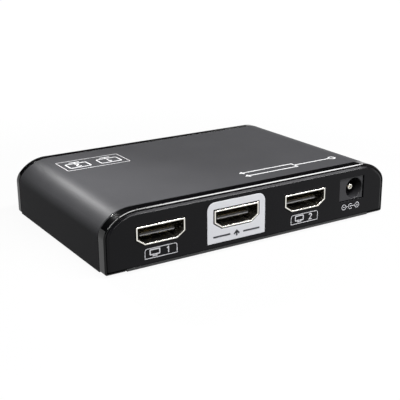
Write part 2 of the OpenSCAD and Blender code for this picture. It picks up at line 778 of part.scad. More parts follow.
// The leaf seen from above: an eye round the post, a strip towards the mouth and a bump into the bore
module jack_spring_leaf() color("#b98d4f") {
    strip_x = post_r + run_gap;
    crest = crest_x - post_x;
    ramp = leaf_l - leaf_crest_l;
    translate([post_x, post_y, bore_z - leaf_h / 2]) linear_extrude(leaf_h) difference() {
        union() {
            circle(eye_r);
            polygon([
                [strip_x, 0], [strip_x, -leaf_crest_l + ramp], [crest - leaf_t, -leaf_crest_l],
                [strip_x - leaf_t, -leaf_l], [strip_x, -leaf_l], [crest, -leaf_crest_l],
                [eye_r, -leaf_crest_l + ramp], [eye_r, 0]
            ]);
        }
        circle(post_r + run_gap);
    }
}

// Chips: gull-wing leads along one side, drawn for the side that faces +X
module lead_row(count, pitch, half_w, body_t) {
    shoulder = chip_lift + body_t / 2;
    for (i = [0 : count - 1])
        translate([half_w, (i - (count - 1) / 2) * pitch + lead_w / 2, 0])
        rotate([90, 0, 0]) linear_extrude(lead_w) polygon([
            [0, shoulder], [lead_knee + lead_t, shoulder], [lead_knee + lead_t, lead_t], [lead_reach, lead_t],
            [lead_reach, 0], [lead_knee, 0], [lead_knee, shoulder - lead_t], [0, shoulder - lead_t]
        ]);
}

module two_lead_rows(pos, count, pitch, half_w, body_t) {
    for (turn = [0, 180]) translate([pos.x, pos.y, board_top]) rotate([0, 0, turn])
        lead_row(count, pitch, half_w, body_t);
}

module splitter_chip() color("#1b1b1d") on_board(chip_pos, [chip_w, chip_w, chip_t], chip_lift);

module splitter_chip_leads() color("#b9bcc0") for (turn = [0 : 90 : 270])
    translate([chip_pos.x, chip_pos.y, board_top]) rotate([0, 0, turn])
    lead_row(chip_leads, chip_pitch, chip_w / 2, chip_t);

module thermal_pad() color("#8fa3b5") on_board(chip_pos, [sink_w, sink_w, pad_t], chip_lift + chip_t);

module heat_sink() color("#a8abb0") {
    low = chip_lift + chip_t + pad_t;
    step = (sink_w - fin_t) / (sink_fins - 1);
    on_board(chip_pos, [sink_w, sink_w, sink_plate], low);
    for (i = [0 : sink_fins - 1])
        on_board(chip_pos + [i * step - (sink_w - fin_t) / 2, 0], [fin_t, sink_w, sink_h], low);
}

module control_chip() color("#1b1b1d") on_board(control_pos, [control_w, control_l, control_t], chip_lift);

module control_chip_leads() color("#b9bcc0")
    two_lead_rows(control_pos, control_leads, control_pitch, control_w / 2, control_t);

module memory_chips() color("#1b1b1d") for (pos = memory_pos)
    on_board(pos, [memory_w, memory_l, memory_t], chip_lift);

module memory_chip_leads() color("#b9bcc0") for (pos = memory_pos)
    two_lead_rows(pos, memory_leads, memory_pitch, memory_w / 2, memory_t);

module surge_arrays() color("#1b1b1d") for (x = [socket_1_x, input_x, socket_2_x])
    on_board([x, array_y], [array_w, array_w, array_t]);

// Power supply parts
module voltage_regulator() color("#1b1b1d")
    on_board([regulator_x, supply_y], [regulator_w, regulator_l, regulator_t], chip_lift);

module regulator_leads() color("#b9bcc0") translate([regulator_x, supply_y, board_top]) {
    rotate([0, 0, -90]) lead_row(3, regulator_pitch, regulator_l / 2, regulator_t);
    block([-regulator_tab / 2, 0, 0], [regulator_tab / 2, regulator_l / 2 + lead_reach, chip_lift]);
}

// A square ferrite body on two solder feet
module power_inductor() color("#4a4a4c") {
    foot_w = coil_w / 4;
    for (s = [-1, 1])
        on_board([inductor_x + s * (coil_w - foot_w) / 2, supply_y], [foot_w, foot_w, chip_lift]);
    on_board([inductor_x, supply_y], [coil_w, coil_w, coil_h], chip_lift);
}

module crystal() color("#c4c6c8") {
    half = (crystal_l - crystal_w) / 2;
    translate([crystal_pos.x, crystal_pos.y, board_top]) {
        for (s = [-1, 1]) translate([s * half, 0, 0]) cylinder(h = crystal_h, d = crystal_w);
        block([-half, -crystal_w / 2, 0], [half, crystal_w / 2, crystal_h]);
    }
}

module capacitor_bases() color("#1a1a1a") for (pos = can_pos) on_board(pos, [can_d, can_d, can_base]);

module capacitor_cans() color("#b4b7ba") for (pos = can_pos)
    translate([pos.x, pos.y, board_top + can_base]) cylinder(h = can_h, d = can_d);

// Rows of small parts on two sides of the splitter chip and in the free part of the board
module ceramic_capacitors() color("#b08d5f") {
    for (side = [-1, 1], i = [0 : ceramic_count - 1])
        on_board(chip_pos + [(i - (ceramic_count - 1) / 2) * small_pitch, side * ceramic_shift],
                 [chip_part_w, chip_part_l, ceramic_h]);
    for (x = [regulator_x, inductor_x])
        on_board([x, supply_y + coil_w / 2 + part_gap + chip_part_w], [chip_part_l, chip_part_w, ceramic_h]);
}

module resistors() color("#222225") {
    for (i = [0 : resistor_count - 1], j = [0, 1])
        on_board(resistor_pos + [i, j] * small_pitch, [chip_part_w, chip_part_l, resistor_h]);
}

// Indicators
module lamp() {
    cylinder(h = lamp_l - lamp_r, r = lamp_r);
    cylinder(h = lamp_rim_t, r = lamp_rim_r);
    translate([0, 0, lamp_l - lamp_r]) sphere(lamp_r);
}

module indicator_lamps() color("#d7dde2") for (x = lamp_xs)
    translate([x, lamp_y, lamp_axis]) rotate([-90, 0, 0]) lamp();

module lamp_lead_posts(low, high, gap) {
    half = lamp_lead_w / 2 + gap;
    y = lamp_y - holder_l / 2;
    for (x = lamp_xs, s = [-1, 1]) translate([x + s * lamp_lead_pitch / 2, y, 0])
        block([-half, -half, low], [half, half, high]);
}

module lamp_leads() color("#b9bcc0") {
    half = lamp_lead_w / 2;
    lamp_lead_posts(lead_low, lamp_axis + half, 0);
    for (x = lamp_xs, s = [-1, 1]) translate([x + s * lamp_lead_pitch / 2, 0, lamp_axis])
        block([-half, lamp_y - holder_l / 2, -half], [half, lamp_y, half]);
}

module lamp_holders() color("#161617") difference() {
    for (x = lamp_xs) block([x - holder_w / 2, lamp_y - fit - holder_l, board_top],
                            [x + holder_w / 2, lamp_y - fit, lamp_axis + lamp_rim_r]);
    slot = lamp_lead_w / 2 + hole_gap;
    for (x = lamp_xs, s = [-1, 1]) translate([x + s * lamp_lead_pitch / 2, 0, 0])
        block([-slot, lamp_y - holder_l / 2 - slot, board_top - past],
              [slot, lamp_y + past, lamp_axis + slot]);
}

top_cover();
bottom_cover();
port_bezel();
port_panel();
input_plate();
rear_bezel();
rear_panel();
rubber_feet();
cover_screws();
board_screws();
circuit_board();
socket_shell(socket_1_x);  // socket_1_shell
socket_insulator(socket_1_x);  // socket_1_insulator
socket_contacts(socket_1_x);  // socket_1_contacts
socket_shell(input_x);  // input_shell
socket_insulator(input_x);  // input_insulator
socket_contacts(input_x);  // input_contacts
socket_shell(socket_2_x);  // socket_2_shell
socket_insulator(socket_2_x);  // socket_2_insulator
socket_contacts(socket_2_x);  // socket_2_contacts
jack_housing();
jack_centre_pin();
jack_spring_post();
jack_spring_leaf();
splitter_chip();
splitter_chip_leads();
thermal_pad();
heat_sink();
control_chip();
control_chip_leads();
memory_chips();
memory_chip_leads();
surge_arrays();
voltage_regulator();
regulator_leads();
power_inductor();
crystal();
capacitor_cans();
capacitor_bases();
ceramic_capacitors();
resistors();
indicator_lamps();
lamp_leads();
lamp_holders();
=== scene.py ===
# %% [markdown]
# A small video splitter, dressed for a product picture
#
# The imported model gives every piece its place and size. This lesson loads that model as a fixed frame,
# gives the outer shells the rounded edges of moulded plastic, and gives each piece its own finish.

# %% Load the frame
import bmesh
import bpy
import json
import math
import numpy as np
from itertools import chain
from mathutils import Euler, Matrix, Vector
from mathutils.geometry import delaunay_2d_cdt


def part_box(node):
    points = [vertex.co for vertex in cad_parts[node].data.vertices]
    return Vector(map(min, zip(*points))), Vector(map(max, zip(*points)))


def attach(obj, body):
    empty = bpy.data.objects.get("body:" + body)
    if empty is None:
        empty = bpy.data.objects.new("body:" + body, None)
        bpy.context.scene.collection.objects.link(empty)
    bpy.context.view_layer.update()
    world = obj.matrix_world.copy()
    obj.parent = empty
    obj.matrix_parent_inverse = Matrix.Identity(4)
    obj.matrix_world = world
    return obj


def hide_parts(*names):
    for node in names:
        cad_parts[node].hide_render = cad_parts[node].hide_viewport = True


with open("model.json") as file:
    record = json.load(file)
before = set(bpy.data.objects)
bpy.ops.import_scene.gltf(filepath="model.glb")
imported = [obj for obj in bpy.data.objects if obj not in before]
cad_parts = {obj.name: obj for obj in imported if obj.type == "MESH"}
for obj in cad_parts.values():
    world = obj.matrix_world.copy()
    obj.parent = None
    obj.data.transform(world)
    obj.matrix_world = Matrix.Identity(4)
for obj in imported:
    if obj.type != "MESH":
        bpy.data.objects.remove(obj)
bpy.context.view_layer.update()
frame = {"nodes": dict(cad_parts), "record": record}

# %% [markdown]
# The camera
#
# The picture was taken from the left of the port end with a short telephoto lens. The place, the aim and
# the lens come from matching the case's edges in the photograph, so the outlines fall where they do there.

# %% Camera
MM = 0.001
camera_place = np.array([-134.6, -216.1, 88.9]) * MM
camera_turn = 31.94
camera_down = 18.36
camera_roll = -0.41
camera_lens = 77.0

camera_data = bpy.data.cameras.new("camera")
camera_data.lens = camera_lens
camera_data.sensor_width = 36.0
camera_data.clip_start = 0.01
camera = bpy.data.objects.new("camera", camera_data)
bpy.context.scene.collection.objects.link(camera)
aim = Euler((math.radians(90 - camera_down), 0, math.radians(-camera_turn))).to_matrix()
roll = Matrix.Rotation(math.radians(camera_roll), 3, "Z")
camera.matrix_world = Matrix.Translation(camera_place) @ (aim @ roll).to_4x4()
bpy.context.scene.camera = camera
bpy.context.scene.view_settings.view_transform = "Standard"
print("camera at", camera_place, "lens", camera_lens, "mm")

# %% [markdown]
# Helpers for finishes
#
# A colour is written as an sRGB hex value, as a paint program shows it, and one function turns it into the
# linear numbers that the shader wants. One more function adds a shader node, sets it and links it.

# %% Colour and node helpers
def linear(hex_colour):
    """An sRGB hex colour as linear red, green, blue and alpha, by the standard sRGB curve."""
    srgb = np.array([int(hex_colour[i:i + 2], 16) for i in (1, 3, 5)]) / 255
    rgb = np.where(srgb <= 0.04045, srgb / 12.92, ((srgb + 0.055) / 1.055) ** 2.4)
    return (*rgb.tolist(), 1.0)


def add_node(tree, kind, inputs=(), **settings):
    """Adds a node: settings are its own options, and inputs pairs a socket with a value or a link."""
    made = tree.nodes.new(kind)
    for option, value in settings.items():
        setattr(made, option, value)
    for socket, value in dict(inputs).items():
        if isinstance(value, bpy.types.NodeSocket):
            tree.links.new(value, made.inputs[socket])
        else:
            made.inputs[socket].default_value = value
    return made


def new_material(name, **constants):
    """A material with one Principled shader, whose even values are set straight on its sockets."""
    material = bpy.data.materials.new(name)
    material.use_nodes = True
    shader = material.node_tree.nodes["Principled BSDF"]
    for socket, value in constants.items():
        shader.inputs[socket.replace("_", " ")].default_value = value
    return material, material.node_tree, shader


# The Mix node keeps its colour sockets at these numbers
MIX_FACTOR, MIX_A, MIX_B, MIX_RESULT = 0, 6, 7, 2
print("#808080 is", round(linear("#808080")[0], 3), "of white in linear light")

# %% [markdown]
# Moulded plastics
#
# The case is injection-moulded ABS. What the eye reads is the mould's surface: a spark-eroded mould leaves a
# fine pebble grain, a polished mould leaves gloss with a faint long ripple. Both are noise at a real grain
# size, used three times: it shifts the colour a little, the roughness a little, and tilts the surface.

# %% Moulded finish
def moulded(name, dark, light, rough, grain_mm=0.35, bump_mm=0.004, specular=0.5, cloud_mm=14.0):
    """A moulded plastic: fine grain tilts the surface, and grain and slow clouds shift colour and gloss."""
    material, tree, shader = new_material(name, Specular_IOR_Level=specular, IOR=1.53)
    place = add_node(tree, "ShaderNodeTexCoord").outputs["Object"]
    grain = add_node(tree, "ShaderNodeTexNoise", {
        "Vector": place, "Scale": 1 / (grain_mm * MM), "Detail": 2.0, "Roughness": 0.55})
    cloud = add_node(tree, "ShaderNodeTexNoise", {
        "Vector": place, "Scale": 1 / (cloud_mm * MM), "Detail": 4.0, "Roughness": 0.55})
    both = add_node(tree, "ShaderNodeMath", {0: grain.outputs["Fac"], 1: cloud.outputs["Fac"]})
    tone = add_node(tree, "ShaderNodeMapRange", {
        "Value": both.outputs["Value"], "From Min": 0.6, "From Max": 1.4})
    colour = add_node(tree, "ShaderNodeMix", {
        MIX_FACTOR: tone.outputs["Result"], MIX_A: linear(dark), MIX_B: linear(light)}, data_type="RGBA")
    gloss = add_node(tree, "ShaderNodeMapRange", {
        "Value": tone.outputs["Result"], "To Min": rough[0], "To Max": rough[1]})
    tilt = add_node(tree, "ShaderNodeBump", {
        "Height": grain.outputs["Fac"], "Distance": bump_mm * MM})
    tree.links.new(colour.outputs[MIX_RESULT], shader.inputs["Base Color"])
    tree.links.new(gloss.outputs["Result"], shader.inputs["Roughness"])
    tree.links.new(tilt.outputs["Normal"], shader.inputs["Normal"])
    return material


# Moulded ABS with a spark-eroded grain of about a third of a millimetre: satin, with no clear reflection
cover_plastic = moulded("satin_abs_dark_grey", "#404042", "#474749", (0.40, 0.46), specular=0.008)
# Moulded ABS from a polished mould: nearly a mirror, with a faint long ripple
bezel_plastic = moulded(
    "polished_abs_black", "#050506", "#080809", (0.05, 0.09), grain_mm=5.0, bump_mm=0.003, specular=0.18)
# Moulded ABS with a very fine grain: darker and smoother than the cover
panel_plastic = moulded(
    "fine_satin_abs_black", "#0b0b0d", "#0f0f11", (0.18, 0.23), grain_mm=0.3, bump_mm=0.001, specular=0.11)
# Moulded ABS of the underside: black and satin, with a coarser grain
base_plastic = moulded("matte_abs_black", "#1a1a1b", "#222223", (0.34, 0.42), grain_mm=0.5, bump_mm=0.003)
# Printed polycarbonate film: pale, with a silky surface
plate_film = moulded(
    "polycarbonate_film_pale", "#c9cacd", "#d1d2d5", (0.35, 0.42), grain_mm=0.4, bump_mm=0.001)
# Glass-filled PBT of the power jack: dark grey, with a soft gloss
jack_plastic = moulded(
    "filled_pbt_grey", "#2a2a2c", "#343436", (0.22, 0.28), grain_mm=0.25, bump_mm=0.001, specular=0.25)
# Liquid-crystal polymer of the socket blocks: nearly black, a little warm, smooth
socket_resin = moulded(
    "liquid_crystal_polymer_black", "#1a1813", "#211f18", (0.12, 0.18),
    grain_mm=0.25, bump_mm=0.0005, specular=0.3)
# Silicone rubber of the feet: black and dusty
foot_rubber = moulded("silicone_rubber_black", "#161616", "#222222", (0.7, 0.85), grain_mm=0.6, bump_mm=0.02)
# Silk-screen inks, flat and even: pale on the panel, white on the cover, dark on the pale plate
pale_ink = moulded("screen_ink_pale", "#bfbfc2", "#cfcfd2", (0.5, 0.6), grain_mm=0.2)
white_ink = moulded("screen_ink_white", "#dededf", "#ececed", (0.5, 0.6), grain_mm=0.2)
dark_ink = moulded("screen_ink_dark", "#1b1b20", "#26262c", (0.45, 0.55), grain_mm=0.2)
print("plastics and inks:", len(bpy.data.materials))

# %% [markdown]
# Plated metals
#
# The sockets are stamped sheet with nickel plating, the contacts have a flash of gold, and the pins are
# tin-plated brass. A metal's colour is its reflection, so the colour goes on the metallic shader. Rolling
# leaves fine lines along the sheet, which is noise stretched along one direction.

# %% Metal finish
def plated(name, dark, light, rough, line_mm=0.12, bump_mm=0.001, stretch=(1.0, 0.08, 1.0)):
    """A metal: noise drawn out along one axis makes rolling lines in its colour, gloss and tilt."""
    material, tree, shader = new_material(name, Metallic=1.0)
    place = add_node(tree, "ShaderNodeTexCoord").outputs["Object"]
    drawn = add_node(tree, "ShaderNodeMapping", {"Vector": place, "Scale": stretch})
    lines = add_node(tree, "ShaderNodeTexNoise", {
        "Vector": drawn.outputs["Vector"], "Scale": 1 / (line_mm * MM), "Detail": 2.0})
    colour = add_node(tree, "ShaderNodeMix", {
        MIX_FACTOR: lines.outputs["Fac"], MIX_A: linear(dark), MIX_B: linear(light)}, data_type="RGBA")
    gloss = add_node(tree, "ShaderNodeMapRange", {
        "Value": lines.outputs["Fac"], "To Min": rough[0], "To Max": rough[1]})
    tilt = add_node(tree, "ShaderNodeBump", {"Height": lines.outputs["Fac"], "Distance": bump_mm * MM})
    tree.links.new(colour.outputs[MIX_RESULT], shader.inputs["Base Color"])
    tree.links.new(gloss.outputs["Result"], shader.inputs["Roughness"])
    tree.links.new(tilt.outputs["Normal"], shader.inputs["Normal"])
    return material


# Nickel plating on stamped sheet: bright and neutral, blurred a little along the rolling lines
socket_nickel = plated("nickel_plated_sheet", "#e2dfd6", "#f0eee8", (0.16, 0.28))
# A flash of gold on the contacts: a pale, quiet yellow
contact_gold = plated("gold_flash_contacts", "#a48c52", "#c4ab6c", (0.18, 0.3))
# Tin plating on turned brass: bright and faintly warm
pin_tin = plated("tin_plated_brass", "#cfccc2", "#e6e4dc", (0.14, 0.26))
# Bare phosphor bronze strip: brown, with dull streaks
spring_bronze = plated("phosphor_bronze_strip", "#7c5f3c", "#96774e", (0.25, 0.4))
# Zinc plating on steel screws: grey and dull
screw_zinc = plated("zinc_plated_steel", "#84868a", "#a0a2a6", (0.28, 0.42))
# Tinned copper leads: pale grey and satin
lead_tin = plated("tinned_copper_leads", "#a9acb0", "#c4c7cb", (0.25, 0.4))
# Plain extruded aluminium: light grey, with broad lines from the die
sink_aluminium = plated("extruded_aluminium", "#8e9196", "#aaadb2", (0.35, 0.5), line_mm=0.2)
# Drawn aluminium cans: pale, with lines that run up the side
can_aluminium = plated("drawn_aluminium_can", "#a9acb0", "#c6c9cc", (0.25, 0.4), stretch=(1.0, 1.0, 0.1))
# Drawn nickel-plated can: brighter than the aluminium, with lines up its side
crystal_steel = plated("drawn_nickel_can", "#b4b6b8", "#d0d2d4", (0.2, 0.32), stretch=(1.0, 1.0, 0.1))
print("plastics, inks and metals:", len(bpy.data.materials))

# %% [markdown]
# Shapes worked out as arrays
#
# A shape here is a pair: an array of points in millimetres, and blocks of faces that number those points. A
# grid of points gives four-sided faces between neighbours, so any surface that is a rule of two parameters
# needs no loop over its points. One last helper turns a shape into a Blender object that rides on a body.

# %% Mesh helpers
def grid_faces(rows, columns, wrap_rows=False, wrap_columns=False):
    """Four-sided faces between neighbours on a grid of points that is numbered row by row."""
    index = np.arange(rows * columns).reshape(rows, columns)
    if wrap_rows:
        index = np.vstack([index, index[:1]])
    if wrap_columns:
        index = np.hstack([index, index[:, :1]])
    quads = np.stack([index[:-1, :-1], index[:-1, 1:], index[1:, 1:], index[1:, :-1]], axis=-1)
    return quads.reshape(-1, 4)


def joined(*shapes):
    """Several shapes as one: each block of faces moves up past the points that come before it."""
    starts = np.cumsum([0] + [len(points) for points, _ in shapes])
    faces = [block + start for (_, blocks), start in zip(shapes, starts) for block in blocks]
    return np.vstack([points for points, _ in shapes]), faces


def make_piece(name, shape, material, replaces=(), body="case", sharp_angle=40):
    """A shape in millimetres as an object: doubles merged, faces outward, smooth up to an angle."""
    points, faces = shape
    mesh = bpy.data.meshes.new(name)
    mesh.from_pydata((points * MM).tolist(), [], list(chain.from_iterable(b.tolist() for b in faces)))
    tidy = bmesh.new()
    tidy.from_mesh(mesh)
    bmesh.ops.remove_doubles(tidy, verts=tidy.verts, dist=0.0002 * MM)
    bmesh.ops.recalc_face_normals(tidy, faces=tidy.faces)
    tidy.to_mesh(mesh)
    tidy.free()
    mesh.shade_smooth()
    mesh.set_sharp_from_angle(angle=math.radians(sharp_angle))
    mesh.materials.append(material)
    piece = bpy.data.objects.new(name, mesh)
    bpy.context.scene.collection.objects.link(piece)
    even = piece.modifiers.new("even shading", "WEIGHTED_NORMAL")
    even.keep_sharp = True
    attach(piece, body)
    if replaces:
        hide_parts(*replaces)
    print(name, len(mesh.vertices), "points", len(mesh.polygons), "faces")
    return piece


def box_mm(node):
    """Lowest and highest corner of a node of the frame, in millimetres."""
    low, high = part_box(node)
    return np.array(low) / MM, np.array(high) / MM


print("a grid of 3 by 4 points has", len(grid_faces(3, 4)), "faces")

# %% [markdown]
# The case's end view
#
# Seen from the port end, the case is a low box whose upper edges are rounded by two arcs that share a
# tangent: a wide one under the top and a tighter one at the side. Every shell of the case follows this line
# at some depth, so the line is written once, as a function of depth, and everything else is carried along it.

# %% End view
cover_low, cover_high = box_mm("top_cover")
right_x, top_z, base_z = cover_high[0], cover_high[2], cover_low[2]
cover_y0, cover_y1 = cover_low[1], cover_high[1]
front_y = box_mm("port_panel")[0][1]
back_y = box_mm("rear_panel")[1][1]
corner_w, corner_h, side_r = 9.7, 6.9, 4.5
top_r = ((corner_w - side_r) ** 2 + corner_h ** 2 - side_r ** 2) / (2 * (corner_h - side_r))
side_centre = np.array([right_x - side_r, top_z - corner_h])
top_centre = np.array([right_x - corner_w, top_z - top_r])
join_turn = math.degrees(math.atan2(*(side_centre - top_centre)[::-1]))


def arc(centre, radius, start, end, count):
    """Points on circles from one angle to another: angles down the rows, one circle in each column."""
    turn = np.radians(np.linspace(start, end, count))[:, None, None]
    return centre + np.asarray(radius)[None, :, None] * np.concatenate([np.cos(turn), np.sin(turn)], axis=-1)


def pairs(x, z):
    """One row of points from their two coordinates, either of which may be a single number."""
    return np.stack(np.broadcast_arrays(x, z), axis=-1)[None].astype(float)


def case_half(depth):
    """Right half of the end view at each depth: the middle of the top, the wide arc, the tight arc."""
    wide = arc(top_centre, top_r - depth, 90, join_turn, 22)
    tight = arc(side_centre, side_r - depth, join_turn, 0, 16)
    return np.concatenate([pairs(0 * depth, top_z - depth), wide, tight[1:]])


def mirrored(half):
    """A line from the middle to the right foot, made whole: its mirror image backwards, then itself."""
    return np.concatenate([half[::-1] * [-1, 1], half[1:]])


def box_corners(low, high):
    """The four corners of a rectangle, from its lowest corner on: right, up and left."""
    return np.array([low, (high[0], low[1]), high, (low[0], high[1])], float)


def rounded(corners, radii, steps=6):
    """A closed outline with each corner replaced by an arc that is tangent to both of its sides.
    The arc's centre lies on the corner's bisector, at the radius divided by the sine of half the angle."""
    corners = np.asarray(corners, float)
    radius = np.broadcast_to(np.asarray(radii, float), len(corners))[:, None]
    before = np.roll(corners, 1, axis=0) - corners
    after = np.roll(corners, -1, axis=0) - corners
    before /= np.linalg.norm(before, axis=1, keepdims=True)
    after /= np.linalg.norm(after, axis=1, keepdims=True)
    half = np.arccos(np.clip((before * after).sum(1, keepdims=True), -1, 1)) / 2
    bisector = before + after
    bisector /= np.linalg.norm(bisector, axis=1, keepdims=True)
    centre = corners + bisector * radius / np.sin(half)
    side = np.sign(before[:, :1] * after[:, 1:] - before[:, 1:] * after[:, :1])
    swing = np.linspace(-1, 1, steps)[None, :] * (np.pi / 2 - half) * -side
    away = -bisector
    turned = np.stack([
        away[:, :1] * np.cos(swing) - away[:, 1:] * np.sin(swing),
        away[:, :1] * np.sin(swing) + away[:, 1:] * np.cos(swing)], axis=-1)
    return (centre[:, None, :] + radius[:, None, :] * turned).reshape(-1, 2)


def carried(profile, path):
    """A closed profile carried along an open path, with flat ends. A profile point is a depth from the
    outside and a place along Y, and path gives the line in X and Z at each depth."""
    depth, along = profile.T
    line = path(depth)
    count, width = line.shape[:2]
    points = np.stack([line[..., 0], np.broadcast_to(along, (count, width)), line[..., 1]], axis=-1)
    ends = np.arange(width) + np.array([[0], [(count - 1) * width]])
    return points.reshape(-1, 3), [grid_faces(count, width, wrap_columns=True), ends]


print("case:", right_x * 2, "wide,", round(top_z - base_z, 2), "high; arcs", side_r, round(top_r, 2))

# %% [markdown]
# The top cover
#
# A sleeve moulded in one piece, open below and at both ends. It could be a box with a Bevel modifier, but
# carrying its wall's profile along the end view gives both arcs exactly, and small rounds at its two rims.
# The sleeve lies a hair under the model's top, so that the ink printed on it ends level with the model.
# Four bosses for the cover screws hang under its rounded edges, where the roof sags below the top.

# %% Top cover
cover_t = 1.2
ink_t = 0.02
rim_round = 0.18
boss_r, boss_side, boss_end, boss_lift = 2.4, 5.0, 13.0, 3.0
pilot_r, pilot_l = 1.14, 7.6
corner_sag = 2.0
boss_x = right_x - boss_side
boss_ys = np.array([front_y + boss_end, back_y - boss_end])
boss_low = base_z + boss_lift


def cover_line(depth):
    """The end view with straight feet that stand on the case's underside."""
    return mirrored(np.concatenate([case_half(depth), pairs(right_x - depth, base_z + 0 * depth)]))


def turned_shape(profile, centre, axis, count=40):
    """A profile of radius and height turned about an axis through a centre, closed where the radius is 0."""
    turn = np.linspace(0, 2 * np.pi, count, endpoint=False)[:, None]
    radius, height = profile.T
    flat = np.stack([
        radius * np.cos(turn), radius * np.sin(turn), np.broadcast_to(height, (count, len(height)))])
    order = {"X": [2, 0, 1], "Y": [1, 2, 0], "Z": [0, 1, 2]}[axis]
    points = np.moveaxis(flat[order], 0, -1).reshape(-1, 3) + centre
    return points, [grid_faces(count, len(height), wrap_rows=True)]


cover_profile = rounded(
    [(ink_t, cover_y0), (ink_t, cover_y1), (cover_t, cover_y1), (cover_t, cover_y0)],
    [rim_round, rim_round, 0, 0])
boss_l = top_z - cover_t / 2 - corner_sag - boss_low
boss_profile = np.array([
    (boss_r, 0), (boss_r, boss_l), (0, boss_l), (0, pilot_l), (pilot_r, pilot_l), (pilot_r, 0), (boss_r, 0)])
bosses = [
    turned_shape(boss_profile, [side * boss_x, y, boss_low], "Z")
    for side in (-1, 1) for y in boss_ys]
make_piece(
    "top_cover_shell", joined(carried(cover_profile, cover_line), *bosses), cover_plastic,
    ["top_cover"])

# %% [markdown]
# The two end bezels
#
# Polished bands close the ends of the sleeve. Their front rim has a flat bevel of about a quarter of a
# millimetre, and that bevel mirrors the strip lamp overhead as one thin white line. A round would mirror it
# much thinner, so the profile has a true bevel there. The band turns under the case at a small bend and stops
# beside the bottom cover's lip.

# %% Bezels
groove = 0.25
rim_t, rim_back, rim_bevel = 0.5, 0.3, 0.24
ledge_in, spigot_l, seam = 2.4, 2.5, 0.1
panel_t, lip_h, foot_bend = 1.6, 0.75, 0.7
lip_side, base_t = 6.2, 1.6
lip_end = right_x - lip_side + groove


def bezel_line(depth):
    """The end view with a small bend at each foot and a short run under the case, as thick as the lip."""
    floor = np.minimum(depth, lip_h)
    bend = np.maximum(foot_bend - depth, 0)
    centre = pairs(right_x - depth - bend, base_z + floor + bend)[0]
    foot = arc(centre, bend, 0, -90, 7)
    return mirrored(np.concatenate([case_half(depth), foot, pairs(lip_end + 0 * depth, base_z + floor)]))


def spigot_line(depth):
    """The end view with straight feet that stop above the bottom cover's plate."""
    foot = pairs(right_x - depth, base_z + base_t + seam + 0 * depth)
    return mirrored(np.concatenate([case_half(depth), foot]))


def bezel_shape(face_y, inward, band_d):
    """A band with a bevelled front rim and a ledge for the panel, and a spigot that fits the sleeve."""
    band = rounded(
        [(0, rim_back + rim_bevel), (rim_bevel, rim_back), (rim_t, rim_back),
         (rim_t, panel_t + seam), (ledge_in, panel_t + seam), (ledge_in, band_d), (0, band_d)],
        [0.05, 0.02, 0, 0, 0, 0, rim_round])
    spigot = np.array([
        (cover_t + seam, band_d - seam), (ledge_in, band_d - seam),
        (ledge_in, band_d + spigot_l), (cover_t + seam, band_d + spigot_l)])
    place = np.array([0, face_y])
    turn = np.array([1, inward])
    return joined(carried(band * turn + place, bezel_line), carried(spigot * turn + place, spigot_line))


port_band = cover_y0 - groove - front_y
rear_band = back_y - cover_y1 - groove
port_rim = bezel_shape(front_y, 1, port_band)
rear_rim = bezel_shape(back_y, -1, rear_band)
make_piece("port_bezel_band", port_rim, bezel_plastic, ["port_bezel"])
make_piece("rear_bezel_band", rear_rim, bezel_plastic, ["rear_bezel"])

# %% [markdown]
# The end panels
#
# Each panel is a plate with a sloping border. The face has holes for the sockets, so it isn't a plain grid:
# a triangulation joins the outer loop to the loops of the holes, and grids make the border and the walls of
# the holes, with a small round where each wall meets the face.

# %% Panels
panel_in, field_in, border_d = 0.75, 1.4, 0.35
lip_gap = 0.2
panel_low = base_z + lip_h + lip_gap
hole_round = 0.1
mouth_w, mouth_h, mouth_side, mouth_floor, mouth_bend = 14.0, 4.55, 3.0, 9.5, 0.22
shell_t, shell_out, port_gap = 0.4, 0.3, 0.15
socket_names = ["socket_1", "input", "socket_2"]
socket_x = [np.mean([c[0] for c in box_mm(name + "_shell")]) for name in socket_names]
socket_z = box_mm("socket_1_insulator")[1][2] - shell_t - mouth_h / 2
slant = math.atan2(mouth_h - mouth_side, (mouth_w - mouth_floor) / 2)


def mouth_line(x, grow):
    """The D-shaped opening of a socket, grown by a width: straight sides, slanted lower corners, all rounded.
    A slanted corner moves by the width times a ratio of the slant, so that every side moves by the width."""
    half, high = mouth_w / 2 + grow, mouth_h / 2 + grow
    side_low = mouth_h / 2 - mouth_side - grow * (1 - math.sin(slant)) / math.cos(slant)
    floor_half = mouth_floor / 2 + grow * math.tan(slant / 2)
    corners = [(-half, high), (-half, side_low), (-floor_half, -high),
               (floor_half, -high), (half, side_low), (half, high)]
    return rounded(corners, mouth_bend) + [x, socket_z]


def panel_line(depth):
    """The end view at each depth, with straight feet that stand on the lip, as a closed loop."""
    return mirrored(np.concatenate([case_half(depth), pairs(right_x - depth, panel_low + 0 * depth)]))


def filled(outer, holes):
    """Triangles between an outer loop and convex holes, which a constrained triangulation joins: those with
    all their corners on one hole are left out."""
    loops = [outer, *holes]
    owner = np.repeat(np.arange(len(loops)), [len(loop) for loop in loops])
    index = np.arange(len(owner))
    first = np.searchsorted(owner, owner)
    last = np.searchsorted(owner, owner, side="right") - 1
    after = np.where(index == last, first, index + 1)
    points = np.vstack(loops)
    edges = np.stack([index, after], axis=-1)
    _, _, faces, *_ = delaunay_2d_cdt(points.tolist(), edges.tolist(), [], 1, 1e-7)
    faces = np.array(faces)
    inside = (owner[faces] == owner[faces][:, :1]).all(axis=1) & (owner[faces][:, 0] > 0)
    return points, faces[~inside]


def rings(loops, levels, closed=False):
    """A wall through a stack of equal loops, each at its own level; closed joins the last to the first."""
    stack = np.stack(loops)
    level = np.broadcast_to(np.asarray(levels, float)[:, None, None], (*stack.shape[:2], 1))
    points = np.concatenate([stack, level], axis=-1).reshape(-1, 3)
    return points, [grid_faces(len(loops), stack.shape[1], wrap_rows=closed, wrap_columns=True)]


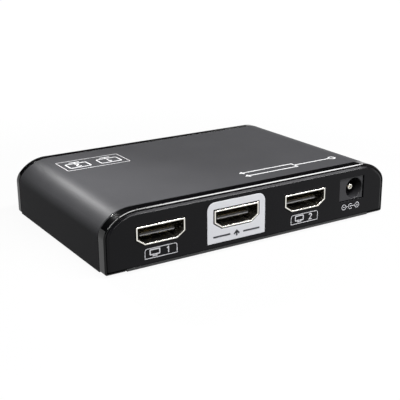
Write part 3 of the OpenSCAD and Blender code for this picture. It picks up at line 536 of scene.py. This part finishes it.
def plate(outer, outer_levels, holes, hole_levels):
    """A plate with holes: outer is a stack of loops from the front face's edge to the back face's edge, as is
    each hole. The two faces are triangulated, and the walls are rings between the stacks."""
    def face(n):
        points, faces = filled(outer[n], [hole[n] for hole in holes])
        return np.column_stack([points, np.full(len(points), outer_levels[n])]), [faces]
    walls = [rings(hole, hole_levels) for hole in holes]
    return joined(face(0), rings(outer, outer_levels), *walls, face(-1))


def standing(shape, face_y, inward):
    """A flat shape of X, Z and level stood up as a panel, with its levels reaching in from a face."""
    points, faces = shape
    return np.stack([points[:, 0], face_y + inward * points[:, 2], points[:, 1]], axis=-1), faces


quarter = np.linspace(0, np.pi / 2, 5)
flat_ring, field_ring = 0.3, 0.4
hole_grow = np.concatenate([[hole_round + flat_ring], hole_round * (1 - np.sin(quarter)), [0]])
hole_levels = np.concatenate([[0], hole_round * (1 - np.cos(quarter)), [panel_t]])
step_w, step_d = 0.1, 0.1
border = rounded(
    [(field_in + field_ring, 0), (field_in, 0), (field_in - step_w, step_d), (panel_in, border_d),
     (panel_in, panel_t), (field_in + field_ring, panel_t)],
    [0, 0.1, 0.05, 0.08, 0, 0])
border_loops = list(np.moveaxis(panel_line(border[:, 0]), 1, 0))


def panel_piece(name, face_y, inward, holes, replaces):
    """A panel with its sloping border and rounded holes, where a hole is a function of how far it grows."""
    hole_stacks = [[hole(grow) for grow in hole_grow] for hole in holes]
    shape = plate(border_loops, border[:, 1], hole_stacks, hole_levels)
    return make_piece(name, standing(shape, face_y, inward), panel_plastic, [replaces])


jack_low, jack_high = box_mm("jack_housing")
jack_gap, jack_bend = 0.06, 0.15


def jack_window(grow):
    """The power jack's window, a rectangle round its housing with slightly rounded corners."""
    low = jack_low[[0, 2]] - jack_gap - grow
    high = jack_high[[0, 2]] + jack_gap + grow
    return rounded(box_corners(low, high), jack_bend + grow)


def socket_window(x):
    """The hole round one socket's shell, as a function of how far it grows."""
    return lambda grow: mouth_line(x, shell_t + port_gap + grow)


lamp_box = box_mm("indicator_lamps")
lamp_z = (lamp_box[0][2] + lamp_box[1][2]) / 2
lamp_pitch, lamp_r = 12.0, 1.5


def lamp_window(x):
    """A round hole for one lamp, as a function of how far it grows."""
    return lambda grow: arc(np.array([x, lamp_z]), [lamp_r + port_gap + grow], 0, 352.5, 48)[:, 0]


panel_piece("port_panel_plate", front_y, 1, [*map(socket_window, socket_x), jack_window], "port_panel")
panel_piece("rear_panel_plate", back_y, -1, [lamp_window(i * lamp_pitch) for i in (-1, 0, 1)], "rear_panel")

# %% [markdown]
# The pale plate round the input
#
# A film stuck on the panel marks the one socket that takes the signal in. Its upper corners are round, its
# lower corners are square, and a dark gap shows between it and the socket.

# %% Input plate
plate_low, plate_high = box_mm("input_plate")
plate_gap, plate_bend, plate_corner, plate_edge = 0.35, 2.4, 0.15, 0.06
film_t = plate_high[1] - plate_low[1]


def film_line(depth):
    """The film's outline, drawn in by a depth: square below, round above."""
    corners = box_corners(plate_low[[0, 2]] + depth, plate_high[[0, 2]] - depth)
    return rounded(corners, [plate_corner, plate_corner, plate_bend, plate_bend], 12)


film_depth = np.concatenate([[plate_edge + flat_ring], plate_edge * (1 - np.sin(quarter)), [0]])
film_levels = np.concatenate([[0], plate_edge * (1 - np.cos(quarter)), [film_t]])
film_hole = [mouth_line(socket_x[1], shell_t + plate_gap + grow) for grow in film_depth]
film = plate([film_line(d) for d in film_depth], film_levels, [film_hole], film_levels)
make_piece("input_plate_film", standing(film, plate_low[1], 1), plate_film, ["input_plate"])

# %% [markdown]
# The video sockets
#
# Each shell is a stamped tube that stands a little out of the panel, and its rounded edge is the bright frame
# that the eye sees first. The profile of the tube's wall is carried round the D-shaped mouth. Spring fingers
# bow into the mouth from its floor and roof, and legs go down through the board.

# %% Socket shells
shell_l = box_mm("socket_1_shell")[1][1] - front_y
finger_y, finger_l, finger_w, finger_in, finger_x = 1.9, 4.6, 1.6, 0.3, mouth_floor / 4
leg_w, leg_round, leg_places = 1.2, 0.5, (4.3, 9.5)
lead_low = box_mm("socket_1_shell")[0][2]


def slab(outline, low, high):
    """A flat outline with a thickness: its loop at two levels and a face at each."""
    count = len(outline)
    points = np.vstack([np.column_stack([outline, np.full(count, level)]) for level in (low, high)])
    return points, [grid_faces(2, count, wrap_columns=True), np.arange(count) + np.array([[0], [count]])]


def across(outline, x, width):
    """A side view of Y and Z given a width along X about a middle."""
    points, faces = slab(outline, x - width / 2, x + width / 2)
    return points[:, [2, 0, 1]], faces


def spring_finger(x, wall_z, up):
    """A strip along Y that bows away from the wall by half a sine wave, with the sheet's thickness."""
    y = np.linspace(0, 1, 15)
    bow = finger_in * np.sin(np.pi * y)
    strip = np.concatenate([np.column_stack([y, bow]), np.column_stack([y, bow - shell_t / 3])[::-1]])
    return across(strip * [finger_l, up] + [front_y + finger_y, wall_z], x, finger_w)


def shell_leg(x, y):
    """A flat leg with a rounded tip, from the mouth's side down through the board."""
    corners = box_corners((y, lead_low), (y + leg_w, socket_z))
    return across(rounded(corners, [leg_round, leg_round, 0, 0]), x, shell_t)


shell_profile = rounded(box_corners((0, -shell_out), (shell_t, shell_l)), [0.1, 0.14, 0, 0], 5)


def socket_shell(x):
    """The tube, four spring fingers and four legs of one socket."""
    tube = rings([mouth_line(x, grow) for grow in shell_profile[:, 0]], shell_profile[:, 1], closed=True)
    fingers = [spring_finger(x + side * finger_x, socket_z - up * mouth_h / 2, up)
               for side in (-1, 1) for up in (-1, 1)]
    legs = [shell_leg(x + side * (mouth_w + shell_t) / 2, front_y + y)
            for side in (-1, 1) for y in leg_places]
    return joined(standing(tube, front_y, 1), *fingers, *legs)


for name, x in zip(socket_names, socket_x):
    make_piece(name + "_shell_stamping", socket_shell(x), socket_nickel, [name + "_shell"])

# %% [markdown]
# Socket blocks
#
# Inside each shell stands a black block with a tongue that carries the contacts. The tongue's end is upright,
# except for a thin nose that leans back a little, so only that shows as a pale line in the dark mouth. The
# tongue is its side view given a width, the plainest way to a form that runs straight across.

# %% Socket blocks
block_low, block_high = box_mm("socket_1_insulator")
tongue_w, tongue_t, tongue_drop = 10.6, 1.1, 0.5
nose_h, nose_drop, nose_lean, nose_l = 0.24, 0.12, 0.108, 0.22
block_l, tail_w, plug_gap = 2.5, 13.0, 0.04
tail_y = front_y + shell_l
block_y = tail_y - block_l


def socket_block(x):
    """The block that fills the shell's rear, the tongue with its nose, and the tail behind the shell."""
    tip, middle = block_low[1], socket_z - tongue_drop
    nose = middle - nose_drop
    tongue = rounded(
        [(block_y, middle + tongue_t / 2), (tip + nose_lean, middle + tongue_t / 2),
         (tip + nose_lean, nose + nose_h / 2), (tip, nose - nose_h / 2),
         (tip + nose_l, middle - tongue_t / 2), (block_y, middle - tongue_t / 2)],
        [0, 0.08, 0.02, 0.02, 0.08, 0])
    tail = box_corners((tail_y, block_low[2]), (block_high[1], block_high[2]))
    points, faces = slab(mouth_line(x, -plug_gap), block_y, tail_y + plug_gap)
    plug = (points[:, [0, 2, 1]], faces)
    return joined(across(tongue, x, tongue_w), plug, across(tail, x, tail_w))


for name, x in zip(socket_names, socket_x):
    make_piece(
        name + "_block", socket_block(x), socket_resin, [name + "_insulator"], sharp_angle=25)

# %% [markdown]
# The power jack's pin
#
# The pin is turned from brass: a hollow nose with a rounded rim, a shank, and a thinner root that is riveted
# to a flat blade behind the jack. A flat end would shine all over, while the rounded rim shines only where it
# faces a lamp, so the profile rounds it.

# %% Centre pin
pin_low, pin_high = box_mm("jack_centre_pin")
pin_r, root_r, hollow_r, hollow_l, shank_l, blade_t = 1.0, 0.7, 0.4, 1.0, 7.76, 0.4
pin_x = (pin_low[0] + pin_high[0]) / 2
pin_z = pin_high[2] - pin_r
pin_l = pin_high[1] - pin_low[1]
pin_profile = rounded(
    [(0, hollow_l), (hollow_r, hollow_l), (hollow_r, 0), (pin_r, 0),
     (pin_r, shank_l), (root_r, shank_l), (root_r, pin_l - blade_t / 2), (0, pin_l - blade_t / 2)],
    [0, 0, 0.15, 0.4, 0.05, 0, 0, 0])
pin = turned_shape(pin_profile, [pin_x, pin_low[1], pin_z], "Y")
blade = rounded(box_corners(pin_low[[0, 2]], pin_high[[0, 2]]), [0.5, 0.5, 0.1, 0.1])
blade_plate = standing(slab(blade, 0, blade_t), pin_high[1], -1)
make_piece("jack_pin_turning", joined(pin, blade_plate), pin_tin, ["jack_centre_pin"])

# %% [markdown]
# Feet
#
# Four self-adhesive rubber feet, low domes with a rounded rim. They could be discs with a Bevel modifier,
# but turning one profile four times gives the round rim and needs no modifier.

# %% Rubber feet
feet_low, feet_high = box_mm("rubber_feet")
foot_r, foot_round = 4.0, 0.5
foot_x = feet_high[0] - foot_r
foot_ys = np.array([feet_low[1] + foot_r, feet_high[1] - foot_r])
foot_box = box_corners((-foot_r, 0), (foot_r, feet_high[2]))
foot_profile = rounded(foot_box, [foot_round, foot_round, 0, 0], 8)
foot_profile = np.vstack([(0, 0), foot_profile[foot_profile[:, 0] > 0], (0, feet_high[2])])
feet = [turned_shape(foot_profile, [side * foot_x, y, 0], "Z", 48) for side in (-1, 1) for y in foot_ys]
make_piece("rubber_feet_domes", joined(*feet), foot_rubber, ["rubber_feet"])

# %% [markdown]
# Marks
#
# The panel and the cover carry printed marks. Here they are plain and generic: screens, the numbers 1 and 2,
# an arrow, a one-to-two diagram and the usual sign for a barrel plug's polarity. A mark is made of strokes:
# a flat profile carried along a line, thinner than a hair but real, so it shows in any light.

# %% Strokes of ink
def stroke(line, width, closed=False):
    """A ribbon of ink along a line: two edges half a width to each side, at two levels.
    At a corner an edge moves along the bisector, by half the width over the cosine of half the turn."""
    line = np.asarray(line, float)
    if closed:
        step = np.roll(line, -1, axis=0) - line
    else:
        step = np.diff(line, axis=0, append=2 * line[-1:] - line[-2:-1])
    step /= np.linalg.norm(step, axis=1, keepdims=True)
    back = np.roll(step, 1, axis=0) if closed else np.vstack([step[:1], step[:-1]])
    normal = np.stack([-step[:, 1], step[:, 0]], -1) + np.stack([-back[:, 1], back[:, 0]], -1)
    normal /= np.maximum((normal ** 2).sum(1, keepdims=True) / 2, 0.5)
    edges = [(1, 0), (-1, 0), (-1, 1), (1, 1)]
    points = np.stack([
        np.column_stack([line + side * width / 2 * normal, np.full(len(line), level * 2 * ink_t - ink_t)])
        for side, level in edges], axis=1)
    count = len(line)
    faces = [grid_faces(count, 4, wrap_rows=closed, wrap_columns=True)]
    if not closed:
        faces.append(np.arange(4) + np.array([[0], [4 * (count - 1)]]))
    return points.reshape(-1, 3), faces


def ring_line(x, z, radius, start=0, end=360, count=40):
    """Points round a circle, or along a part of one."""
    return arc(np.array([x, z]), [radius], start, end, count)[:, 0]


def box_line(x, z, wide, high, bends):
    """A rectangle about a middle, with a bend at each corner from the lower left on."""
    w, h = wide / 2, high / 2
    return rounded(box_corners((x - w, z - h), (x + w, z + h)), bends)


def number_line(digit, x, z, high):
    """The number 1 or 2 as one line: a flag and a stem, or a hook, a slope and a foot."""
    if digit == 1:
        line = np.array([(-0.24, 0.24), (0.04, 0.5), (0.04, -0.5)])
    else:
        hook = arc(np.zeros(2), [0.26], 165, -35, 12)[:, 0] + [0, 0.24]
        line = np.vstack([hook, [(-0.27, -0.46), (0.3, -0.46)]])
    return line * high + [x, z]


def screen_lines(x, z, wide, high):
    """A screen on a stand: a rounded frame, a short neck and a foot."""
    low = z - high / 2
    return [(box_line(x, z, wide, high, 0.12 * high), True),
            ([(x, low), (x, low - 0.28 * high)], False),
            ([(x - 0.25 * wide, low - 0.28 * high), (x + 0.25 * wide, low - 0.28 * high)], False)]


def inked(name, lines, width, material, place):
    """All the strokes of one mark as one piece, laid on a surface by place."""
    points, faces = joined(*[stroke(line, width, closed) for line, closed in lines])
    return make_piece(name, (place(points), faces), material, sharp_angle=30)


def on_panel(points):
    """Marks of X, Z and level on the port panel's face."""
    return np.stack([points[:, 0], front_y - points[:, 2], points[:, 1]], axis=-1)


def on_film(points):
    """Marks on the face of the pale film."""
    return np.stack([points[:, 0], plate_low[1] - points[:, 2], points[:, 1]], axis=-1)


def on_cover(points):
    """Marks of X, Y and level on the top cover."""
    return np.stack([points[:, 0], points[:, 1], top_z - ink_t + points[:, 2]], axis=-1)


print("ink stands", ink_t, "mm proud")

# %% [markdown]
# Print on the port end
#
# Screen-printed ink, pale on the dark panel, dark on the pale film. A frame with a screen and a number tells
# the outputs apart, an arrow marks the input, and the polarity sign stands under the power jack. Each mark is
# drawn about its own middle, so one place moves all of it.

# %% Marks on the port end
thin, bold = 0.2, 0.34
label_w, label_h, label_z = 9.8, 2.75, base_z + 3.72
screen_w, screen_h, screen_x, screen_z = 2.9, 1.4, -1.9, 0.24
number_h, number_x = 1.75, 2.2
for digit, x in ((1, socket_x[0]), (2, socket_x[2])):
    label = box_line(x, label_z, label_w, label_h, [0.05, 0.05, 0.7, 0.7])
    figures = [*screen_lines(x + screen_x, label_z + screen_z, screen_w, screen_h),
               (number_line(digit, x + number_x, label_z, number_h), False)]
    inked(f"output_{digit}_frame", [(label, True)], thin, pale_ink, on_panel)
    inked(f"output_{digit}_figures", figures, bold, pale_ink, on_panel)

film_x, film_z = socket_x[1], plate_low[2] + 1.85
tip_w, tip_low, tip_high, stem_low, stem_high = 0.9, -0.3, 0.6, -0.9, 0.5
rule_near, rule_far, arrow_bold = 2.2, 7.8, 0.5
arrow_lines = [
    [(-tip_w, tip_low), (0, tip_high), (tip_w, tip_low)], [(0, stem_high), (0, stem_low)],
    [(-rule_far, 0), (-rule_near, 0)], [(rule_near, 0), (rule_far, 0)]]
arrow = [(np.array(line) + [film_x, film_z], False) for line in arrow_lines]
inked("input_arrow", arrow, arrow_bold, dark_ink, on_film)

sign_x, sign_z, sign_r, sign_step = (jack_low[0] + jack_high[0]) / 2 - 0.3, base_z + 4.0, 0.8, 2.6
left_x, plus_x = sign_x - sign_step, sign_x + sign_step
tick, dot_r, dot_edge = 0.36, 0.15, 0.2
sign = [(ring_line(left_x, sign_z, sign_r)[:-1], True),
        (ring_line(plus_x, sign_z, sign_r)[:-1], True),
        (ring_line(sign_x, sign_z, sign_r, 50, 310), False),
        (ring_line(sign_x, sign_z, dot_r)[:-1], True),
        ([(left_x + sign_r, sign_z), (sign_x - sign_r, sign_z)], False),
        ([(sign_x + dot_edge, sign_z), (plus_x - sign_r, sign_z)], False),
        ([(left_x - tick, sign_z), (left_x + tick, sign_z)], False),
        ([(plus_x - tick, sign_z), (plus_x + tick, sign_z)], False),
        ([(plus_x, sign_z - tick), (plus_x, sign_z + tick)], False)]
inked("power_polarity_sign", sign, thin, pale_ink, on_panel)

# %% [markdown]
# Print on the cover
#
# White ink that reads from the far side. Two numbered screens in a frame stand for the outputs, and a diagram
# with one ring and two arrows shows what the box does. To turn a drawing half round, it is taken away from
# its middle instead of added to it.

# %% Marks on the cover
badge_x, badge_y, badge_w, badge_l, badge_bend = -28.5, front_y + 47.1, 20.6, 9.8, 0.3
badge_frame = box_line(badge_x, badge_y, badge_w, badge_l, badge_bend)
inked("screens_frame", [(badge_frame, True)], thin, white_ink, on_cover)
big_w, big_h, big_number, big_shift, big_bold = 6.8, 4.4, 2.5, -0.5, 0.42
badge = []
for digit, side in ((1, 1), (2, -1)):
    middle = np.array([badge_x + side * badge_w / 4, badge_y + big_shift])
    upright = [*screen_lines(0, 0, big_w, big_h), (number_line(digit, 0, 0, big_number), False)]
    badge += [(middle - line, closed) for line, closed in upright]
inked("screens_figures", badge, big_bold, white_ink, on_cover)

fork_y, fork_low, fork_high, fork_x, fork_w = front_y + 10.6, 2.4, 35.6, 21.0, 1.6
fork_r, head, head_out, fork_bold = 1.0, 0.9, 0.1, 0.5
ends = [(fork_low, fork_y - fork_w), (fork_low, fork_y + fork_w)]
fork = [(ring_line(fork_high, fork_y, fork_r)[:-1], True),
        ([(fork_high - fork_r, fork_y), (fork_x, fork_y)], False),
        ([ends[0], (fork_x, ends[0][1]), (fork_x, ends[1][1]), ends[1]], False)]
for x, y in ends:
    fork.append(([(x + head, y + head), (x - head_out, y), (x + head, y - head)], False))
inked("one_to_two_diagram", fork, fork_bold, white_ink, on_cover)

# %% [markdown]
# Pieces that keep their solids
#
# The board, its parts, the jack's housing and the bottom cover have the right shape in the model already.
# They only need the finish of their real material, and two of them a small rounded edge from modifiers.

# %% Finishes of the carried-over pieces
# Moulded epoxy of the chips: black, with a dusty half gloss
chip_resin = moulded("epoxy_chip_resin", "#17171a", "#202024", (0.45, 0.6), grain_mm=0.3)
# Silicone pad: grey-blue and quite dull
pad_silicone = moulded("silicone_pad", "#8798aa", "#98a9ba", (0.7, 0.8), grain_mm=0.5)
# Sintered ferrite: dark grey and dull, like fired clay
ferrite = moulded("sintered_ferrite", "#3f3f42", "#4d4d50", (0.6, 0.75), grain_mm=0.3)
# Fired ceramic: brown, with a faint gloss
ceramic = moulded("ceramic_body", "#a07f52", "#b8966a", (0.4, 0.5), grain_mm=0.2)
# Cast epoxy of the lamps: water-pale and glossy
lamp_resin = moulded(
    "clear_epoxy_lens", "#d4dade", "#e4e9ec", (0.08, 0.14), grain_mm=2.0, bump_mm=0.001)
# Solder mask on the board: green, with a soft gloss and slow clouds
board_laminate = moulded(
    "solder_mask_green", "#1a4a29", "#225a33", (0.3, 0.42), grain_mm=0.6, cloud_mm=6.0)
finish_of = {
    "socket_resin": socket_resin, "contact_gold": contact_gold, "jack_plastic": jack_plastic,
    "plated_brass": pin_tin, "spring_bronze": spring_bronze, "screw_steel": screw_zinc,
    "tinned_lead": lead_tin, "sink_aluminium": sink_aluminium, "can_aluminium": can_aluminium,
    "crystal_steel": crystal_steel, "base_plastic": base_plastic,
    "chip_resin": chip_resin, "pad_silicone": pad_silicone, "ferrite": ferrite, "ceramic": ceramic,
    "lamp_resin": lamp_resin, "board_laminate": board_laminate,
}
slot_of = {row["node"]: row["material_slot"] for row in frame["record"]["subparts"]}
dressed = 0
for name, solid in frame["nodes"].items():
    if not solid.hide_render:
        solid.data.materials.clear()
        solid.data.materials.append(finish_of[slot_of[name]])
        dressed += 1
print("solids dressed:", dressed)


def soften(node, width):
    """Rounded edges on a solid of the frame: its corners are welded, and sharp edges get a narrow bevel."""
    solid = frame["nodes"][node]
    weld = solid.modifiers.new("welded corners", "WELD")
    weld.merge_threshold = 0.001 * MM
    flat = solid.modifiers.new("whole flat faces", "DECIMATE")
    flat.decimate_type = "DISSOLVE"
    flat.angle_limit = math.radians(0.5)
    bevel = solid.modifiers.new("rounded edges", "BEVEL")
    bevel.width = width * MM
    bevel.segments = 3
    bevel.limit_method = "ANGLE"
    bevel.angle_limit = math.radians(40)
    bevel.use_clamp_overlap = False
    print(node, "edges rounded over", width, "mm")


soften("bottom_cover", 0.12)
soften("jack_housing", 0.25)

# %% [markdown]
# The stage
#
# The floor is a wide disc of paper that turns up at its rim. To the camera, and in reflections, it is white,
# a little less so near the object. To soft light it is dull grey, so it doesn't flood the object from below.
# Under the case its glow is painted down, a painted shadow that shows in the narrow gaps at the case's foot.

# %% Floor
stage_r, stage_rise, stage_bend = 3.0, 0.72, 0.04
floor_gap = 0.02
near_r, far_r, near_white = 0.1, 0.25, 0.945
# The painted shadow under the case: how far inside the case's outline it starts, how wide it fades in, and
# how dim it gets
painted_shadow_inset, painted_shadow_fade, painted_shadow_level = 2.6, 1.0, 0.1
stage_profile = np.array([
    (0.0, 0.0), (0.6 * stage_r, 0.0), (0.9 * stage_r, stage_bend),
    (stage_r, 0.5 * stage_rise), (stage_r, stage_rise)]) / MM
floor_points, floor_faces = turned_shape(stage_profile, [0, 0, -floor_gap], "Z", 96)
floor_mesh = bpy.data.meshes.new("floor")
floor_mesh.from_pydata((floor_points * MM).tolist(), [], floor_faces[0].tolist())
floor = bpy.data.objects.new("floor", floor_mesh)
bpy.context.scene.collection.objects.link(floor)

paper = bpy.data.materials.new("white_paper")
paper.use_nodes = True
tree = paper.node_tree
tree.nodes.clear()
path = add_node(tree, "ShaderNodeLightPath")
direct = add_node(tree, "ShaderNodeMath", {
    0: path.outputs["Is Camera Ray"], 1: path.outputs["Is Glossy Ray"]}, operation="MAXIMUM")
seen = add_node(tree, "ShaderNodeMath", {
    0: direct.outputs["Value"], 1: path.outputs["Is Transmission Ray"]}, operation="MAXIMUM")
here = add_node(tree, "ShaderNodeTexCoord").outputs["Object"]
away = add_node(tree, "ShaderNodeVectorMath", {0: here}, operation="LENGTH")
white_level = add_node(tree, "ShaderNodeMapRange", {
    "Value": away.outputs["Value"],
    "From Min": near_r, "From Max": far_r, "To Min": near_white, "To Max": 1.0})
# A painted shadow: the glow is multiplied down inside a rectangle within the case's outline, under the case
painted_shadow_half = ((right_x - painted_shadow_inset) * MM, (back_y - painted_shadow_inset) * MM, 0.0)
unsigned = add_node(tree, "ShaderNodeVectorMath", {0: here}, operation="ABSOLUTE")
inset = add_node(tree, "ShaderNodeVectorMath", {
    0: painted_shadow_half, 1: unsigned.outputs["Vector"]}, operation="SUBTRACT")
insets = add_node(tree, "ShaderNodeSeparateXYZ", {"Vector": inset.outputs["Vector"]})
least_inset = add_node(tree, "ShaderNodeMath", {
    0: insets.outputs["X"], 1: insets.outputs["Y"]}, operation="MINIMUM")
under = add_node(tree, "ShaderNodeMapRange", {
    "Value": least_inset.outputs["Value"],
    "From Min": 0.0, "From Max": painted_shadow_fade * MM, "To Min": 1.0, "To Max": painted_shadow_level})
open_glow = add_node(tree, "ShaderNodeMath", {
    0: seen.outputs["Value"], 1: white_level.outputs["Result"]}, operation="MULTIPLY")
glow = add_node(tree, "ShaderNodeMath", {
    0: open_glow.outputs["Value"], 1: under.outputs["Result"]}, operation="MULTIPLY")
lit = add_node(tree, "ShaderNodeBsdfDiffuse", {"Color": linear("#303030")})
white = add_node(tree, "ShaderNodeEmission", {"Strength": glow.outputs["Value"]})
both = add_node(tree, "ShaderNodeAddShader", {0: lit.outputs["BSDF"], 1: white.outputs["Emission"]})
add_node(tree, "ShaderNodeOutputMaterial", {"Surface": both.outputs["Shader"]})
floor_mesh.materials.append(paper)
print("floor", 2 * stage_r, "m across")

# %% [markdown]
# Light
#
# A dim sky that brightens overhead, and four soft lamps. The strip lamp hangs where the bezel's bevel mirrors
# it to the camera as one long white line, and the thin corner lamp carries that line round the left corner. A
# small lamp behind on the left draws the sheen on the cover's rounded edge. The front lamp stands where the
# panel's border mirrors it.

# %% World and lamps
sky_low, sky_high, sky_dim, sky_bright = 0.4, 0.95, 0.01, 0.35
world = bpy.data.worlds.new("studio")
world.use_nodes = True
bpy.context.scene.world = world
tree = world.node_tree
tree.nodes.clear()
ways = add_node(tree, "ShaderNodeTexCoord")
height = add_node(tree, "ShaderNodeSeparateXYZ", {"Vector": ways.outputs["Generated"]})
level = add_node(tree, "ShaderNodeMapRange", {
    "Value": height.outputs["Z"],
    "From Min": sky_low, "From Max": sky_high, "To Min": sky_dim, "To Max": sky_bright})
sky = add_node(tree, "ShaderNodeBackground", {"Strength": level.outputs["Result"]})
add_node(tree, "ShaderNodeOutputWorld", {"Surface": sky.outputs["Background"]})


def soft_lamp(name, place_mm, look_mm, size_mm, watts, along=(1, 0, 0), spread=180, colour="#ffffff"):
    """A rectangular soft lamp at a place, looking at a point, with its long side along a direction."""
    data = bpy.data.lights.new(name, "AREA")
    data.shape = "RECTANGLE"
    data.size, data.size_y = size_mm[0] * MM, size_mm[1] * MM
    data.energy = watts
    data.spread = math.radians(spread)
    data.color = linear(colour)[:3]
    lamp = bpy.data.objects.new(name, data)
    bpy.context.scene.collection.objects.link(lamp)
    back = (Vector(place_mm) - Vector(look_mm)).normalized()
    up = back.cross(Vector(along)).normalized()
    turn = Matrix([up.cross(back), up, back]).transposed().to_4x4()
    lamp.matrix_world = Matrix.Translation(Vector(place_mm) * MM) @ turn
    print(name, watts, "W")


soft_lamp("strip_lamp", (210, -299, 600), (0, -20, 15), (830, 55), 8.0, along=(5, 1, 0))
soft_lamp("corner_lamp", (-390, -446, 600), (-40, -31, 15), (400, 14), 1.7, along=(350, 141, 0))
soft_lamp("rear_left_lamp", (-44, 114, 81), (-42, -75, 16), (14, 14), 0.027, spread=40)
soft_lamp("front_lamp", (170, -290, 150), (0, -31, 12), (300, 40), 0.64, colour="#f2f2f6")
